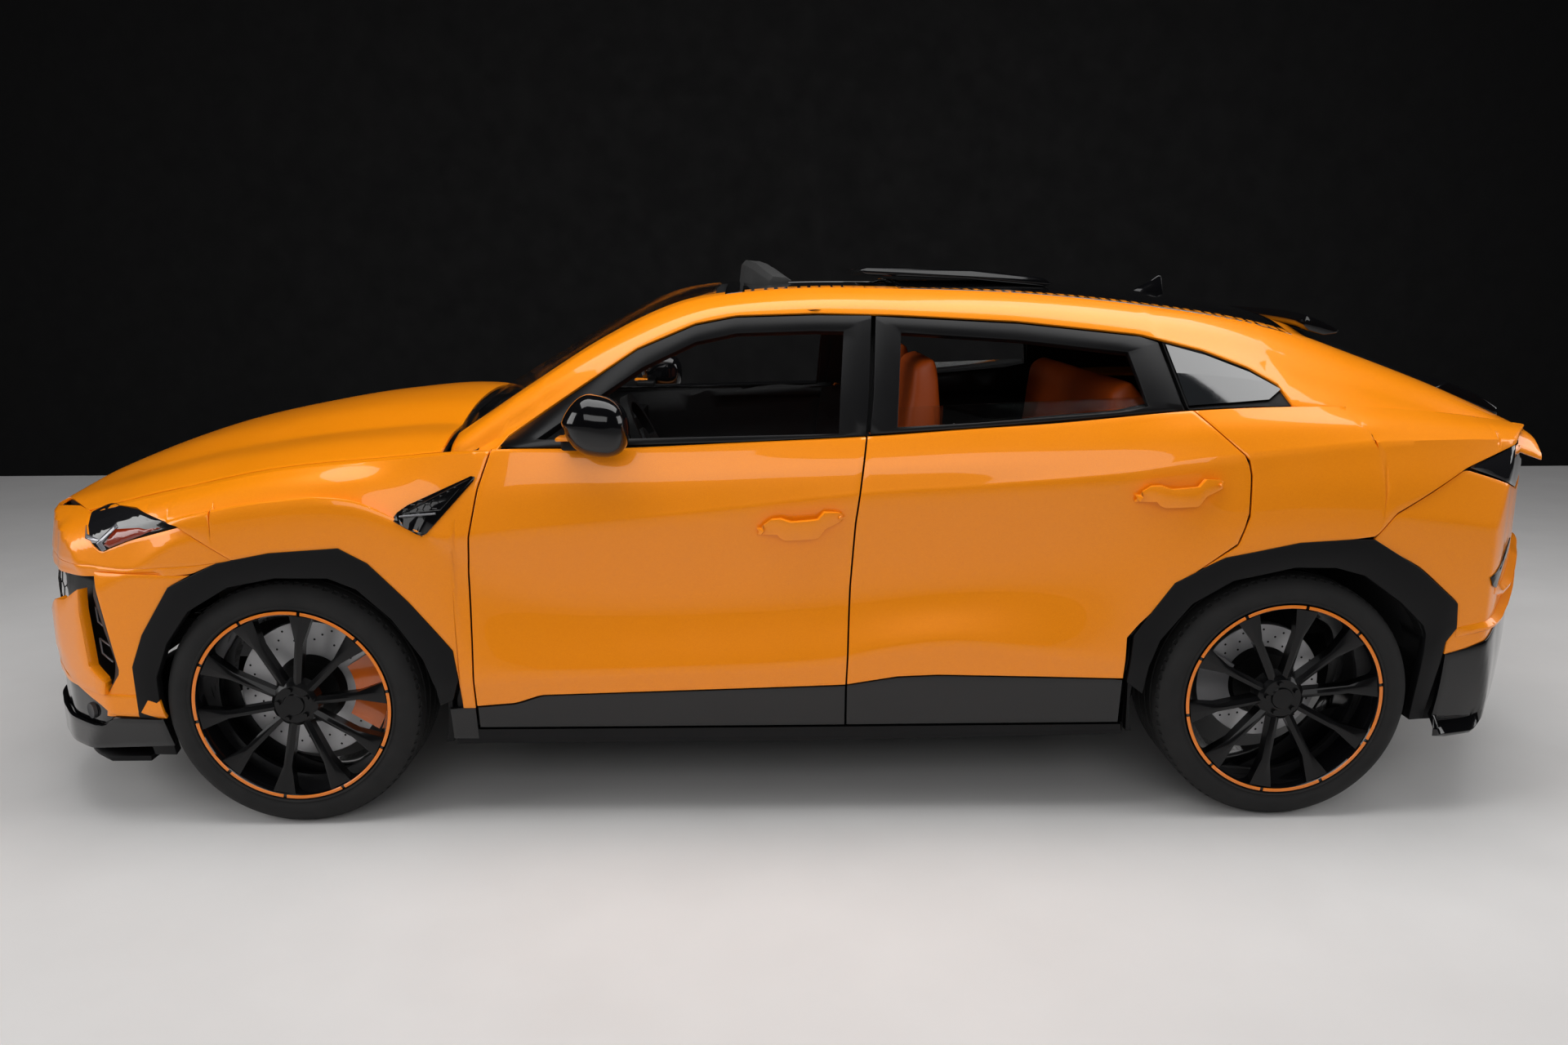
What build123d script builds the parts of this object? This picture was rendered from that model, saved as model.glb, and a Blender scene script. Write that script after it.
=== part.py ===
"""Coupe-backed sport utility vehicle, millimetres, +Z up, nose towards -X, left side towards -Y."""

import math
import os

from build123d import *

# ---- Overall sizes -------------------------------------------------------------------------
WHEELBASE = 3003.0
FRONT_OVERHANG = 1000.0
REAR_OVERHANG = 1109.0
BODY_WIDTH = 2016.0
LENGTH = FRONT_OVERHANG + WHEELBASE + REAR_OVERHANG
FRONT_AXLE_X = FRONT_OVERHANG - LENGTH / 2
REAR_AXLE_X = FRONT_AXLE_X + WHEELBASE

# The body lines below are drawn on this size of car and stretched to the sizes above.
DRAWN_FRONT_AXLE, DRAWN_REAR_AXLE = -1556.0, 1447.0
DRAWN_FRONT, DRAWN_REAR = -2556.0, 2556.0
DRAWN_WIDTH = 2016.0


def sx(x):
    """Station x of the drawn car, moved to the built car's wheelbase and overhangs."""
    if x < DRAWN_FRONT_AXLE:
        share = (x - DRAWN_FRONT_AXLE) / (DRAWN_FRONT - DRAWN_FRONT_AXLE)
        return FRONT_AXLE_X - share * FRONT_OVERHANG
    if x > DRAWN_REAR_AXLE:
        share = (x - DRAWN_REAR_AXLE) / (DRAWN_REAR - DRAWN_REAR_AXLE)
        return REAR_AXLE_X + share * REAR_OVERHANG
    share = (x - DRAWN_FRONT_AXLE) / (DRAWN_REAR_AXLE - DRAWN_FRONT_AXLE)
    return FRONT_AXLE_X + share * WHEELBASE


def sy(y):
    """Half-breadth y of the drawn car, moved to the built car's width."""
    return y * BODY_WIDTH / DRAWN_WIDTH


def along(line, x):
    """The line's other coordinates at x: a cubic through its points with central slopes."""
    xs = [p[0] for p in line]
    if x <= xs[0]:
        return line[0][1:]
    if x >= xs[-1]:
        return line[-1][1:]
    i = max(k for k in range(len(xs)) if xs[k] <= x)
    i = min(i, len(xs) - 2)
    h = xs[i + 1] - xs[i]
    t = (x - xs[i]) / h
    out = []
    for c in range(1, len(line[0])):
        def slope(k):
            a, b = max(k - 1, 0), min(k + 1, len(xs) - 1)
            return (line[b][c] - line[a][c]) / (xs[b] - xs[a])
        p, q = line[i][c], line[i + 1][c]
        m, n = slope(i) * h, slope(i + 1) * h
        out.append((2*t**3 - 3*t**2 + 1)*p + (t**3 - 2*t**2 + t)*m + (3*t**2 - 2*t**3)*q + (t**3 - t**2)*n)
    return tuple(out)


# ---- Other sizes ---------------------------------------------------------------------------
FRONT_TRACK = 1695.0
REAR_TRACK = 1680.0
FRONT_TYRE_DIAMETER, FRONT_TYRE_WIDTH = 772.0, 285.0
REAR_TYRE_DIAMETER, REAR_TYRE_WIDTH = 770.0, 325.0
RIM_RADIUS = 305.0
SKIN = 30.0
DOOR_DEPTH = 95.0
FRAME_DEPTH = 45.0
GAP = 5.0
FRAME_GAP = 13.0
SEAT = 0.8

# ---- Body lines: (x, half-breadth, height) of the drawn car -------------------------------
SILL = [(-2700, 880, 215), (-2150, 900, 215), (-1556, 930, 250), (-1000, 945, 262), (0, 950, 262),
        (900, 950, 275), (1447, 950, 290), (2000, 930, 290), (2250, 890, 320), (2700, 850, 420)]
LOWER = [(-2700, 900, 350), (-2000, 972, 362), (-1556, 988, 420), (-1000, 985, 465), (-460, 985, 487),
         (50, 985, 509), (250, 985, 552), (450, 985, 572), (740, 985, 537), (990, 988, 512),
         (1447, 995, 500), (1900, 980, 520), (2250, 930, 560), (2700, 860, 600)]
FACET = [(-2700, 900, 640), (-2250, 940, 700), (-2000, 978, 800), (-1850, 1000, 895), (-1700, 1008, 935),
         (-1550, 1008, 958), (-1330, 1005, 968), (-1180, 985, 900), (-1000, 955, 760), (-600, 948, 700),
         (0, 948, 720), (600, 948, 760), (900, 965, 800), (1130, 992, 855), (1300, 1005, 915),
         (1470, 1008, 945), (1680, 1004, 955), (1900, 985, 930), (2250, 935, 880), (2700, 860, 850)]
WAIST = [(-2700, 860, 800), (-2250, 900, 860), (-2000, 950, 925), (-1850, 972, 970), (-1550, 980, 1020),
         (-1330, 975, 1010), (-1170, 972, 935), (-1060, 970, 897), (-980, 970, 905), (-690, 972, 933),
         (-330, 975, 967), (140, 975, 1018), (510, 975, 1040), (930, 980, 1078), (1170, 985, 1120),
         (1460, 980, 1148), (1700, 962, 1166), (2000, 915, 1165), (2250, 860, 1150), (2700, 760, 1120)]
SHOULDER = [(-2700, 700, 820), (-2400, 745, 890), (-2200, 800, 945), (-2055, 850, 985), (-1840, 885, 1035),
            (-1570, 900, 1090), (-1200, 905, 1125), (-1000, 915, 1143), (-850, 925, 1150), (-570, 930, 1151),
            (-210, 928, 1166), (180, 925, 1183), (510, 920, 1205), (750, 915, 1220), (1060, 905, 1247),
            (1230, 900, 1258), (1450, 885, 1262), (1700, 855, 1255), (2000, 800, 1225), (2250, 750, 1185),
            (2700, 680, 1120)]
BONNET = [(-2700, 460, 840), (-2530, 480, 895), (-2400, 500, 960), (-2200, 530, 1022), (-2050, 550, 1062),
          (-1820, 555, 1114), (-1550, 560, 1155), (-1350, 560, 1175), (-1150, 560, 1188), (-950, 560, 1165),
          (0, 560, 1150), (1500, 560, 1170), (2000, 560, 1160), (2250, 560, 1130), (2450, 520, 1085),
          (2700, 470, 1030)]
CENTRE = [(-2700, 850), (-2530, 925), (-2370, 1018), (-2060, 1130), (-1750, 1200), (-1440, 1248),
          (-1150, 1262), (-950, 1200), (0, 1165), (1500, 1180), (2000, 1175), (2250, 1145), (2450, 1100),
          (2700, 1045)]
GLASS_FOOT = [(-1400, 780, 860), (-1100, 835, 1060), (-980, 880, 1120), (-850, 903, 1155), (-210, 906, 1171),
              (510, 898, 1210), (1060, 885, 1252), (1300, 885, 1262), (1700, 858, 1240), (2000, 815, 1180),
              (2300, 780, 1070), (2500, 760, 960)]
FRAME_TOP = [(-1400, 790, 900), (-1100, 815, 1085), (-940, 790, 1165), (-710, 765, 1310), (-510, 735, 1438),
             (-330, 712, 1512), (-210, 704, 1534), (40, 700, 1544), (285, 700, 1538), (660, 702, 1517),
             (1030, 708, 1476), (1300, 722, 1425), (1500, 738, 1372), (1750, 758, 1300), (2030, 770, 1205),
             (2300, 770, 1100), (2500, 760, 1000)]
RAIL = [(-1400, 770, 940), (-1106, 762, 1135), (-863, 715, 1300), (-625, 665, 1452), (-390, 620, 1562),
        (-210, 605, 1597), (40, 600, 1613), (300, 600, 1608), (680, 600, 1592), (1070, 602, 1552),
        (1460, 612, 1484), (1750, 635, 1383), (2030, 660, 1275), (2300, 690, 1150), (2500, 700, 1050)]
ROOF = [(-1400, 1085), (-1250, 1168), (-1060, 1272), (-800, 1425), (-470, 1595), (-250, 1630), (100, 1638),
        (500, 1636), (900, 1620), (1300, 1580), (1600, 1520), (1900, 1408), (2200, 1280), (2500, 1130)]

STATIONS = [-2700, -2500, -2350, -2200, -2050, -1900, -1750, -1600, -1450, -1330, -1180, -1060, -950,
            -700, -350, 50, 250, 450, 650, 850, 1050, 1200, 1350, 1500, 1700, 1900, 2100, 2300, 2500, 2700]
CABIN_STATIONS = [-1400, -1250, -1100, -950, -800, -650, -500, -350, -210, 40, 300, 600, 900, 1150, 1350,
                  1550, 1750, 1950, 2150, 2350, 2500]


DEEP = 100  # cross-sections run down past the underside, which the side profile then cuts flat


def skin(stations, ring, inset, drop):
    """A closed solid whose outline at each station is ring(x): smooth along x, ruled across."""
    rings = [ring(x, inset, drop) for x in stations]
    count = len(rings[0])
    span = stations[-1] - stations[0]
    share = [(x - stations[0]) / span for x in stations]
    edges = []
    for k in range(count):
        points = [Vector(sx(x), r[k][0], r[k][1]) for x, r in zip(stations, rings)]
        edges.append(Edge.make_spline(points, parameters=share))
    faces = [Face.make_surface_from_curves(edges[k], edges[(k + 1) % count]) for k in range(count)]
    for x, r in ((stations[0], rings[0]), (stations[-1], rings[-1])):
        faces.append(Face(Wire.make_polygon([Vector(sx(x), y, z) for y, z in r], close=True)))
    with BuildPart() as solid:
        add(Solid(Shell(faces)))
    return solid.part


def loop(right, bottom, top):
    """Both sides of a cross-section from its right-hand points, bottom to top."""
    return [(0, bottom)] + right + [(0, top)] + [(-y, z) for y, z in reversed(right)]


def body_ring(x, inset, drop):
    """Cross-section of the body below the windows."""
    s, l, f, w, h, b = (along(line, x) for line in (SILL, LOWER, FACET, WAIST, SHOULDER, BONNET))
    top = along(CENTRE, x)[0]
    side = [(s[0], s[1]), l, f, w]
    side += [((w[0] + h[0]) / 2 + 6, (w[1] + h[1]) / 2 + 6), h]
    side = [(sy(y) - inset, z) for y, z in side]
    side[-1] = (side[-1][0], h[1] - drop * 0.8)
    deck = [((h[0] + b[0]) / 2, (h[1] + b[1]) / 2 + 13), b, (b[0] * 0.55, b[1] + (top - b[1]) * 0.72)]
    side += [(sy(y), z - drop) for y, z in deck]
    return loop([(side[0][0], DEEP)] + side, DEEP, top - drop)


def cabin_ring(x, inset, drop):
    """Cross-section of the cabin above the waist, carried down inside the body."""
    g, f, r = (along(line, x) for line in (GLASS_FOOT, FRAME_TOP, RAIL))
    top = along(ROOF, x)[0]
    foot = min(g[1], 1000) - 200
    side = [(g[0] - 60, foot), g, ((g[0] + f[0]) / 2 + 5, (g[1] + f[1]) / 2), f,
            ((f[0] + r[0]) / 2 + 6, (f[1] + r[1]) / 2 + 7), r]
    side = [(sy(y) - inset, z) for y, z in side]
    side = [(y, z - drop * k) for (y, z), k in zip(side, (0, 0, 0.2, 0.4, 0.7, 1))]
    side += [(side[-1][0] * 0.6, r[1] + (top - r[1]) * 0.7 - drop)]
    return loop(side, foot, top - drop)


def smooth(points):
    """Points of the drawn car as one smooth wire's vertices in plan, nose or tail."""
    return [(sx(x), sy(y)) for x, y in points]


UPPER_NOSE = [(-2180, -860), (-2290, -760), (-2440, -550), (-2515, -300), (-2545, 0), (-2515, 300),
              (-2440, 550), (-2290, 760), (-2180, 860)]
NOSE_PLAN = [(-2300, -860), (-2395, -750), (-2460, -680), (-2521, -550), (-2550, -300), (-2556, 0),
             (-2550, 300), (-2521, 550), (-2460, 680), (-2395, 750), (-2300, 860)]
TAIL_PLAN = [(2270, 810), (2345, 710), (2470, 510), (2530, 300), (2556, 0), (2530, -300), (2470, -510),
             (2345, -710), (2270, -810)]
SIDE_PROFILE = [(-2150, 200), (-2480, 200), (-2540, 280), (-2556, 420), (-2552, 600), (-2528, 700),
                (-2545, 790), (-2550, 860), (-2530, 930), (-2300, 1900), (2300, 1900), (2395, 1150),
                (2400, 1040), (2440, 970), (2475, 870), (2500, 740), (2545, 610), (2556, 480), (2500, 340),
                (2250, 305), (2000, 275), (1447, 275), (900, 260), (0, 247), (-1000, 247), (-1556, 235)]


def side_prism(points, near=-1200, far=1200):
    """A prism across the car on an outline of (x, z) points, between two y values."""
    with BuildPart() as prism:
        with BuildSketch(Plane.XZ.offset(-sy(near))):
            Polygon(*[(sx(x), z) for x, z in points], align=None)
        extrude(amount=-(sy(far) - sy(near)))
    return prism.part


def plan_prism(points, low=0, high=2200):
    """An upright prism on an outline of (x, y) points."""
    with BuildPart() as prism:
        with BuildSketch(Plane.XY.offset(low)):
            Polygon(*smooth(points), align=None)
        extrude(amount=high - low)
    return prism.part


def plan_hull(inset=0, nose_plan=None):
    """The car's outline in plan, upright through its whole height."""
    with BuildPart() as hull:
        with BuildSketch(Plane.XY):
            with BuildLine():
                nose = smooth([(x + inset, y) for x, y in nose_plan or NOSE_PLAN])
                tail = smooth([(x - inset, y) for x, y in TAIL_PLAN])
                Polyline((sx(1850), sy(1060)), (sx(-1700), sy(1060)), (sx(-2060), sy(990)), nose[-1])
                Spline(*nose)
                Polyline(nose[0], (sx(-2060), sy(-990)), (sx(-1700), sy(-1060)), (sx(1850), sy(-1060)),
                         (sx(2100), sy(-960)), tail[-1])
                Spline(*tail)
                Polyline(tail[0], (sx(2100), sy(960)), (sx(1850), sy(1060)))
            make_face()
        extrude(amount=2200)
    return hull.part


def block(x0, x1, y0, y1, z0, z1):
    """A box between drawn-car coordinates."""
    with BuildPart() as box:
        x, y, w, d = (sx(x0) + sx(x1)) / 2, (sy(y0) + sy(y1)) / 2, sx(x1) - sx(x0), sy(y1) - sy(y0)
        with Locations((x, y, (z0 + z1) / 2)):
            Box(w, d, z1 - z0)
    return box.part


def axle_drum(axle_x, height, radius, near, far):
    """A cylinder along Y about an axle, between two y values."""
    with BuildPart() as drum:
        with BuildSketch(Plane.XZ.offset(-near)):
            with Locations((axle_x, height)):
                Circle(radius)
        extrude(amount=-(far - near))
    return drum.part


def both_sides(part):
    """The part and its mirror image in one part."""
    with BuildPart() as pair:
        add(part)
        mirror(part, about=Plane.XZ)
    return pair.part


def mirrored(part):
    """The part's mirror image."""
    with BuildPart() as other:
        mirror(part, about=Plane.XZ)
    return other.part


def combine(*steps):
    """One part from a list of ("+", "-" or "&", part) steps."""
    modes = {"+": Mode.ADD, "-": Mode.SUBTRACT, "&": Mode.INTERSECT}
    with BuildPart() as result:
        for sign, part in steps:
            add(part, mode=modes[sign])
    return result.part


def grown(points, by):
    """The closed outline moved outward by a distance."""
    area = sum(a[0] * b[1] - b[0] * a[1] for a, b in zip(points, points[1:] + points[:1]))
    turn = 1 if area > 0 else -1
    out = []
    for before, here, after in zip(points[-1:] + points[:-1], points, points[1:] + points[:1]):
        a = math.atan2(here[1] - before[1], here[0] - before[0])
        b = math.atan2(after[1] - here[1], after[0] - here[0])
        half = ((b - a + math.pi) % (2 * math.pi) - math.pi) / 2
        reach = by / max(math.cos(half), 0.35)
        middle = a + half - turn * math.pi / 2
        out.append((here[0] + reach * math.cos(middle), here[1] + reach * math.sin(middle)))
    return out


os.makedirs("parts", exist_ok=True)

# ---- Body solids every panel is cut from -----------------------------------------------------
profile = side_prism(SIDE_PROFILE)
upper_nose = combine(("+", block(-2700, -2000, -1100, 1100, 700, 2000)), ("-", plan_hull(0, UPPER_NOSE)))
lower = combine(("+", skin(STATIONS, body_ring, 0, 0)), ("&", plan_hull()), ("&", profile),
                ("-", upper_nose))


def inner_body(depth, drop=None):
    """The lower body's solid, smaller all round by a depth."""
    inside = skin(STATIONS, body_ring, depth, depth if drop is None else drop)
    nose = combine(("+", block(-2700, -2000, -1100, 1100, 700 - depth, 2000)),
                   ("-", plan_hull(depth, UPPER_NOSE)))
    return combine(("+", inside), ("&", plan_hull(depth)), ("-", nose))


upper = combine(("+", skin(CABIN_STATIONS, cabin_ring, 0, 0)), ("&", plan_hull()), ("&", profile))
lower_shell = combine(("+", lower), ("-", inner_body(SKIN)))
lower_seat = combine(("+", lower), ("-", inner_body(SKIN + SEAT)))
thick_shell = combine(("+", lower), ("-", inner_body(60)))
thick_seat = combine(("+", lower), ("-", inner_body(60 + SEAT)))
door_band = combine(("+", lower), ("-", skin(STATIONS, body_ring, DOOR_DEPTH, -200)))
door_seat = combine(("+", lower), ("-", skin(STATIONS, body_ring, DOOR_DEPTH + GAP, -200)))
frame_band = combine(("+", upper), ("-", skin(CABIN_STATIONS, cabin_ring, FRAME_DEPTH, FRAME_DEPTH)))
frame_seat = combine(("+", upper), ("-", skin(CABIN_STATIONS, cabin_ring, FRAME_DEPTH + GAP, 50)))
glass_band = combine(("+", upper), ("-", skin(CABIN_STATIONS, cabin_ring, 18, 18)))
roof_band = combine(("+", upper), ("-", skin(CABIN_STATIONS, cabin_ring, 30, 30)))
roof_seat = combine(("+", upper), ("-", skin(CABIN_STATIONS, cabin_ring, 30 + SEAT, 30 + SEAT)))
on_lower = skin(STATIONS, body_ring, -SEAT, -SEAT)
on_body = combine(("+", on_lower), ("+", skin(CABIN_STATIONS, cabin_ring, -SEAT, -SEAT)))

front_wheel = (FRONT_AXLE_X, FRONT_TYRE_DIAMETER / 2)
rear_wheel = (REAR_AXLE_X, REAR_TYRE_DIAMETER / 2)
FRONT_WELL_END = (FRONT_TRACK - FRONT_TYRE_WIDTH) / 2 - 200.0
REAR_WELL_END = (REAR_TRACK - REAR_TYRE_WIDTH) / 2 - 27.5
front_well = both_sides(axle_drum(*front_wheel, FRONT_TYRE_DIAMETER / 2 + 72, -sy(1300), -FRONT_WELL_END))
rear_well = both_sides(axle_drum(*rear_wheel, REAR_TYRE_DIAMETER / 2 + 66, -sy(1300), -REAR_WELL_END))

FRONT_DOOR = [(-985, 300), (-1001, 360), (-1001, 560), (-1003, 794), (-993, 906), (-965, 1041), (-922, 1166),
              (-905, 1280), (225, 1280), (177, 1190), (162, 1082), (142, 935), (128, 735), (120, 530),
              (116, 425), (116, 300)]
REAR_DOOR = [(124, 300), (124, 425), (128, 530), (136, 735), (150, 935), (170, 1082), (185, 1190),
             (225, 1320), (1110, 1320), (1142, 1256), (1284, 1123), (1294, 1074), (1292, 951), (1262, 862),
             (1160, 795), (1060, 690), (960, 590), (954, 450), (954, 300)]
FRONT_FRAME = [(-925, 1130), (-900, 1172), (-712, 1296), (-508, 1430), (-333, 1502), (-209, 1525),
               (37, 1531), (208, 1529), (184, 1300), (163, 1120)]
FRONT_WINDOW = [(-800, 1175), (-690, 1252), (-490, 1382), (-330, 1455), (-205, 1480), (30, 1486),
                (120, 1484), (105, 1300), (98, 1183)]
REAR_FRAME = [(192, 1120), (206, 1300), (221, 1528), (285, 1524), (657, 1503), (1032, 1462), (1085, 1445),
              (1120, 1270), (1135, 1150)]
REAR_WINDOW = [(272, 1203), (280, 1300), (295, 1480), (655, 1456), (985, 1418), (1020, 1265)]
FRONT_ARCH = [(-2024, 190), (-2024, 513), (-1980, 615), (-1879, 764), (-1728, 837), (-1570, 868),
              (-1367, 881), (-1288, 834), (-1178, 709), (-1060, 556), (-1049, 466), (-1070, 400),
              (-1085, 190)]
REAR_ARCH = [(985, 190), (970, 440), (976, 518), (982, 590), (1093, 753), (1233, 832), (1447, 877),
             (1603, 886), (1718, 823), (1867, 684), (1879, 621), (1860, 560), (1850, 190)]
BONNET_PLAN = [(-2700, 0), (-2700, 430), (-2440, 500), (-2330, 640), (-2215, 770), (-2060, 828),
               (-1840, 863), (-1570, 877), (-1200, 882), (-1080, 884), (-1110, 0)]
LAMP = [(-2650, 800), (-2650, 880), (-2480, 905), (-2254, 935), (-2204, 968), (-2068, 972), (-1998, 898),
        (-2236, 826)]
TAILGATE_PLAN = [(1560, 0), (1560, 600), (1750, 618), (2030, 640), (2700, 640), (2700, 0)]
TAIL_LAMP = [(1990, 1057), (2135, 1192), (2200, 1150), (2650, 1120), (2650, 1035), (2170, 1065),
             (2086, 1018)]
BUMPER_EDGE = [(1850, 150), (1860, 560), (1879, 621), (1867, 684), (1718, 823), (1606, 890), (1994, 1054),
               (2080, 1010), (2170, 1060), (2650, 1030), (2650, 150)]
SCREEN_PLAN = [(-1106, 0), (-1090, 742), (-863, 695), (-625, 645), (-390, 600), (-285, 585), (-285, 0)]
QUARTER_WINDOW = [(1139, 1267), (1386, 1282), (1434, 1310), (1351, 1359), (1225, 1409), (1107, 1441)]
FENDER_WAY = [(-1300, 150), (-1300, 1500), (-900, 1500), (-960, 1041), (-990, 906), (-998, 794),
              (-998, 360), (-980, 330), (-980, 150)]
BOARD_LINE = [(-1085, 180), (-1072, 294), (967, 294), (985, 180)]


def whole(half):
    """A plan outline and its mirror image as one closed outline."""
    return half + [(x, -y) for x, y in reversed(half) if y > 0]


# ---- Doors: a thick panel with a window frame standing on it ---------------------------------
HINGES = [(-1001, 590), (-992, 900), (132, 590), (150, 900)]  # leading edge and foot of each hinge bracket
BRACKET = 30


def bracket(x, z, side_gap=0, end_gap=0):
    """A door hinge bracket on the left pillar, or the pocket round it when gaps are given."""
    end = along(LOWER, x + 40)[0] - 55 + end_gap
    inner = -800 + 5 * side_gap
    return block(x + 4 - 4 * side_gap, x + 46 + side_gap, -end, inner, z - side_gap, z + BRACKET + side_gap)


def door(outline, frame, window, hinges):
    """A left door with pockets for the body's two hinge brackets."""
    panel = combine(("+", door_band), ("&", side_prism(outline, -1200, -400)))
    ring = combine(("+", frame_band), ("&", side_prism(frame, -1200, -400)),
                   ("-", side_prism(window, -1200, -400)))
    return combine(("+", panel), ("+", ring), *[("-", bracket(x, z, 10, 20)) for x, z in hinges])


with BuildPart() as left_front_door:
    add(door(FRONT_DOOR, FRONT_FRAME, FRONT_WINDOW, HINGES[:2]))
with BuildPart() as left_rear_door:
    add(door(REAR_DOOR, REAR_FRAME, REAR_WINDOW, HINGES[2:]))
    add(side_prism(grown(REAR_ARCH, 8), -1200, -400), mode=Mode.SUBTRACT)
with BuildPart() as right_front_door:
    mirror(left_front_door.part, about=Plane.XZ)
with BuildPart() as right_rear_door:
    mirror(left_rear_door.part, about=Plane.XZ)

# The rear windows are wound down: only their top strips stand above the waist.
with BuildPart() as left_rear_glass:
    add(combine(("+", upper), ("-", skin(CABIN_STATIONS, cabin_ring, 26, 26))))
    add(skin(CABIN_STATIONS, cabin_ring, 20, 20), mode=Mode.INTERSECT)
    add(side_prism(grown(REAR_WINDOW, -SEAT), -1200, -400), mode=Mode.INTERSECT)
    add(side_prism([(240, 1100), (240, 1262), (1100, 1292), (1100, 1100)], -1200, -400), mode=Mode.INTERSECT)
    add(on_lower, mode=Mode.SUBTRACT)
with BuildPart() as right_rear_glass:
    mirror(left_rear_glass.part, about=Plane.XZ)

# Mirrors: a shell on a foot that stands on the door's shoulder.
with BuildPart() as left_mirror:
    with BuildSketch(Plane.YZ.offset(sx(-575))):
        Polygon((-sy(955), 1225), (-sy(965), 1300), (-sy(1000), 1322), (-sy(1068), 1312), (-sy(1088), 1270),
                (-sy(1078), 1205), (-sy(1000), 1192), align=None)
    extrude(amount=sx(-575) - sx(-745), dir=(-1, 0, 0), taper=12)
    add(block(-690, -600, -1010, -905, 1165, 1215))
    add(on_body, mode=Mode.SUBTRACT)
with BuildPart() as right_mirror:
    mirror(left_mirror.part, about=Plane.XZ)

# ---- Bodyshell: floor, sills, pillars, cant rails, rear quarters, boot -----------------------
cabin_void = combine(("+", skin(STATIONS, body_ring, 150, -400)), ("&", plan_hull(110)),
                     ("&", block(-930, 2205, -1000, 1000, 330, 2400)),
                     ("-", both_sides(axle_drum(*rear_wheel, REAR_TYRE_DIAMETER / 2 + 78, -1300,
                                           12 - REAR_WELL_END))),
                     ("-", block(1000, 2300, -1000, 1000, 300, 520)))
roof_void = combine(("+", skin(CABIN_STATIONS, cabin_ring, 70, 55)),
                    ("&", block(-1220, 2290, -1000, 1000, 500, 2400)))
ABOVE_BELT = [(-1130, 1080), (-960, 1110), (-850, 1120), (-210, 1135), (510, 1170), (1060, 1215),
              (1300, 1225), (2000, 1150), (2420, 1080), (2420, 2000), (-1130, 2000)]
tailgate_way = plan_prism(whole([(x - 6 if x < 1600 else x, y + 6 if y else 0) for x, y in TAILGATE_PLAN]),
                          784, 2200)
upper_frame = combine(("+", upper), ("-", roof_void), ("&", side_prism(ABOVE_BELT)))
arch_ways = both_sides(combine(("+", side_prism(grown(FRONT_ARCH, SEAT), -1200, -600)),
                               ("+", side_prism(grown(REAR_ARCH, SEAT), -1200, -600))))
lamp_way = combine(("+", side_prism(grown(TAIL_LAMP, SEAT))), ("+", arch_ways),
                   ("+", both_sides(side_prism(grown(BOARD_LINE, SEAT), -1200, -879))))
door_ways = [side_prism(grown(outline, 8)) for outline in (FRONT_DOOR, REAR_DOOR)]
frame_ways = [side_prism(grown(outline, FRAME_GAP)) for outline in (FRONT_FRAME, REAR_FRAME)]
lower_cuts = [
    cabin_void, front_well, rear_well, tailgate_way,
    block(1150, 1750, -650, 650, 150, 480),
    block(1780, 2300, -690, 690, 150, 470),
    combine(("+", door_seat), ("&", door_ways[0])), combine(("+", door_seat), ("&", door_ways[1])),
    combine(("+", thick_seat), ("&", lamp_way)),
    combine(("+", lower_seat), ("&", side_prism(FENDER_WAY))),
    combine(("+", frame_seat), ("&", frame_ways[0])), combine(("+", frame_seat), ("&", frame_ways[1])),
    combine(("+", lower_seat), ("&", side_prism(grown(BUMPER_EDGE, SEAT)))),
    combine(("+", lower), ("-", inner_body(42, 42)), ("&", plan_prism(grown(whole(BONNET_PLAN), 6)))),
]
upper_cuts = [
    tailgate_way, on_lower,
    combine(("+", frame_seat), ("&", frame_ways[0])), combine(("+", frame_seat), ("&", frame_ways[1])),
    combine(("+", roof_seat), ("&", block(-240.8, 1545.8, -585.8, 585.8, 1400, 1800))),
    block(-200, 310, -430, 430, 1400, 1800), plan_prism(whole(SCREEN_PLAN), 900, 2000),
    both_sides(combine(("+", glass_band), ("&", side_prism(QUARTER_WINDOW, -1200, -400)))),
]
# Each side is cut by itself: window openings, and room for the doors' edges as they swing.
for near, far in ((-1200, -500), (500, 1200)):
    lower_cuts += [side_prism(grown(outline, -60), near, far) for outline in (FRONT_DOOR, REAR_DOOR)]
    upper_cuts += [side_prism(grown(outline, -36), near, far) for outline in (FRONT_FRAME, REAR_FRAME)]
    side = 1 if far > 0 else -1
    foot_room = block(-912, -798, *sorted((side * 850, side * 734)), 1138, 1216)
    lower_cuts += [foot_room, block(940, 972, *sorted((side * 1000, side * 880)), 296, 470)]
    upper_cuts.append(foot_room)


JACK_PAD_Z = 232.0


def carve(part, cuts):
    """The largest solid left of a part after a list of cuts."""
    with BuildPart() as carved:
        add(part)
        for cut in cuts:
            add(cut, mode=Mode.SUBTRACT)
    return max(carved.part.solids(), key=lambda solid: solid.volume)


floor_and_sides = combine(("+", lower), ("&", block(-1105, 2235, -1100, 1100, 100, 2000)))
with BuildPart() as bodyshell:
    add(carve(floor_and_sides, lower_cuts))
    for x, z in HINGES:
        add(both_sides(bracket(x, z)))
    for side in (-1, 1):
        add(block(-2420, -1000, min(side * 400, side * 470), max(side * 400, side * 470), 420, 520))
    add(block(-2440, -2395, -600, 600, 420, 520))
    with Locations(*[(sx(x), sy(y), JACK_PAD_Z + 20) for x in (-900, 880) for y in (-850, 850)]):
        Cylinder(30, 40)

with BuildPart() as cabin_frame:
    add(carve(upper_frame, upper_cuts))

with BuildPart() as roof_panel:
    add(roof_band)
    add(block(-240, 1545, -585, 585, 1400, 1800), mode=Mode.INTERSECT)
    add(block(-190, 300, -420, 420, 1400, 1800), mode=Mode.SUBTRACT)

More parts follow.
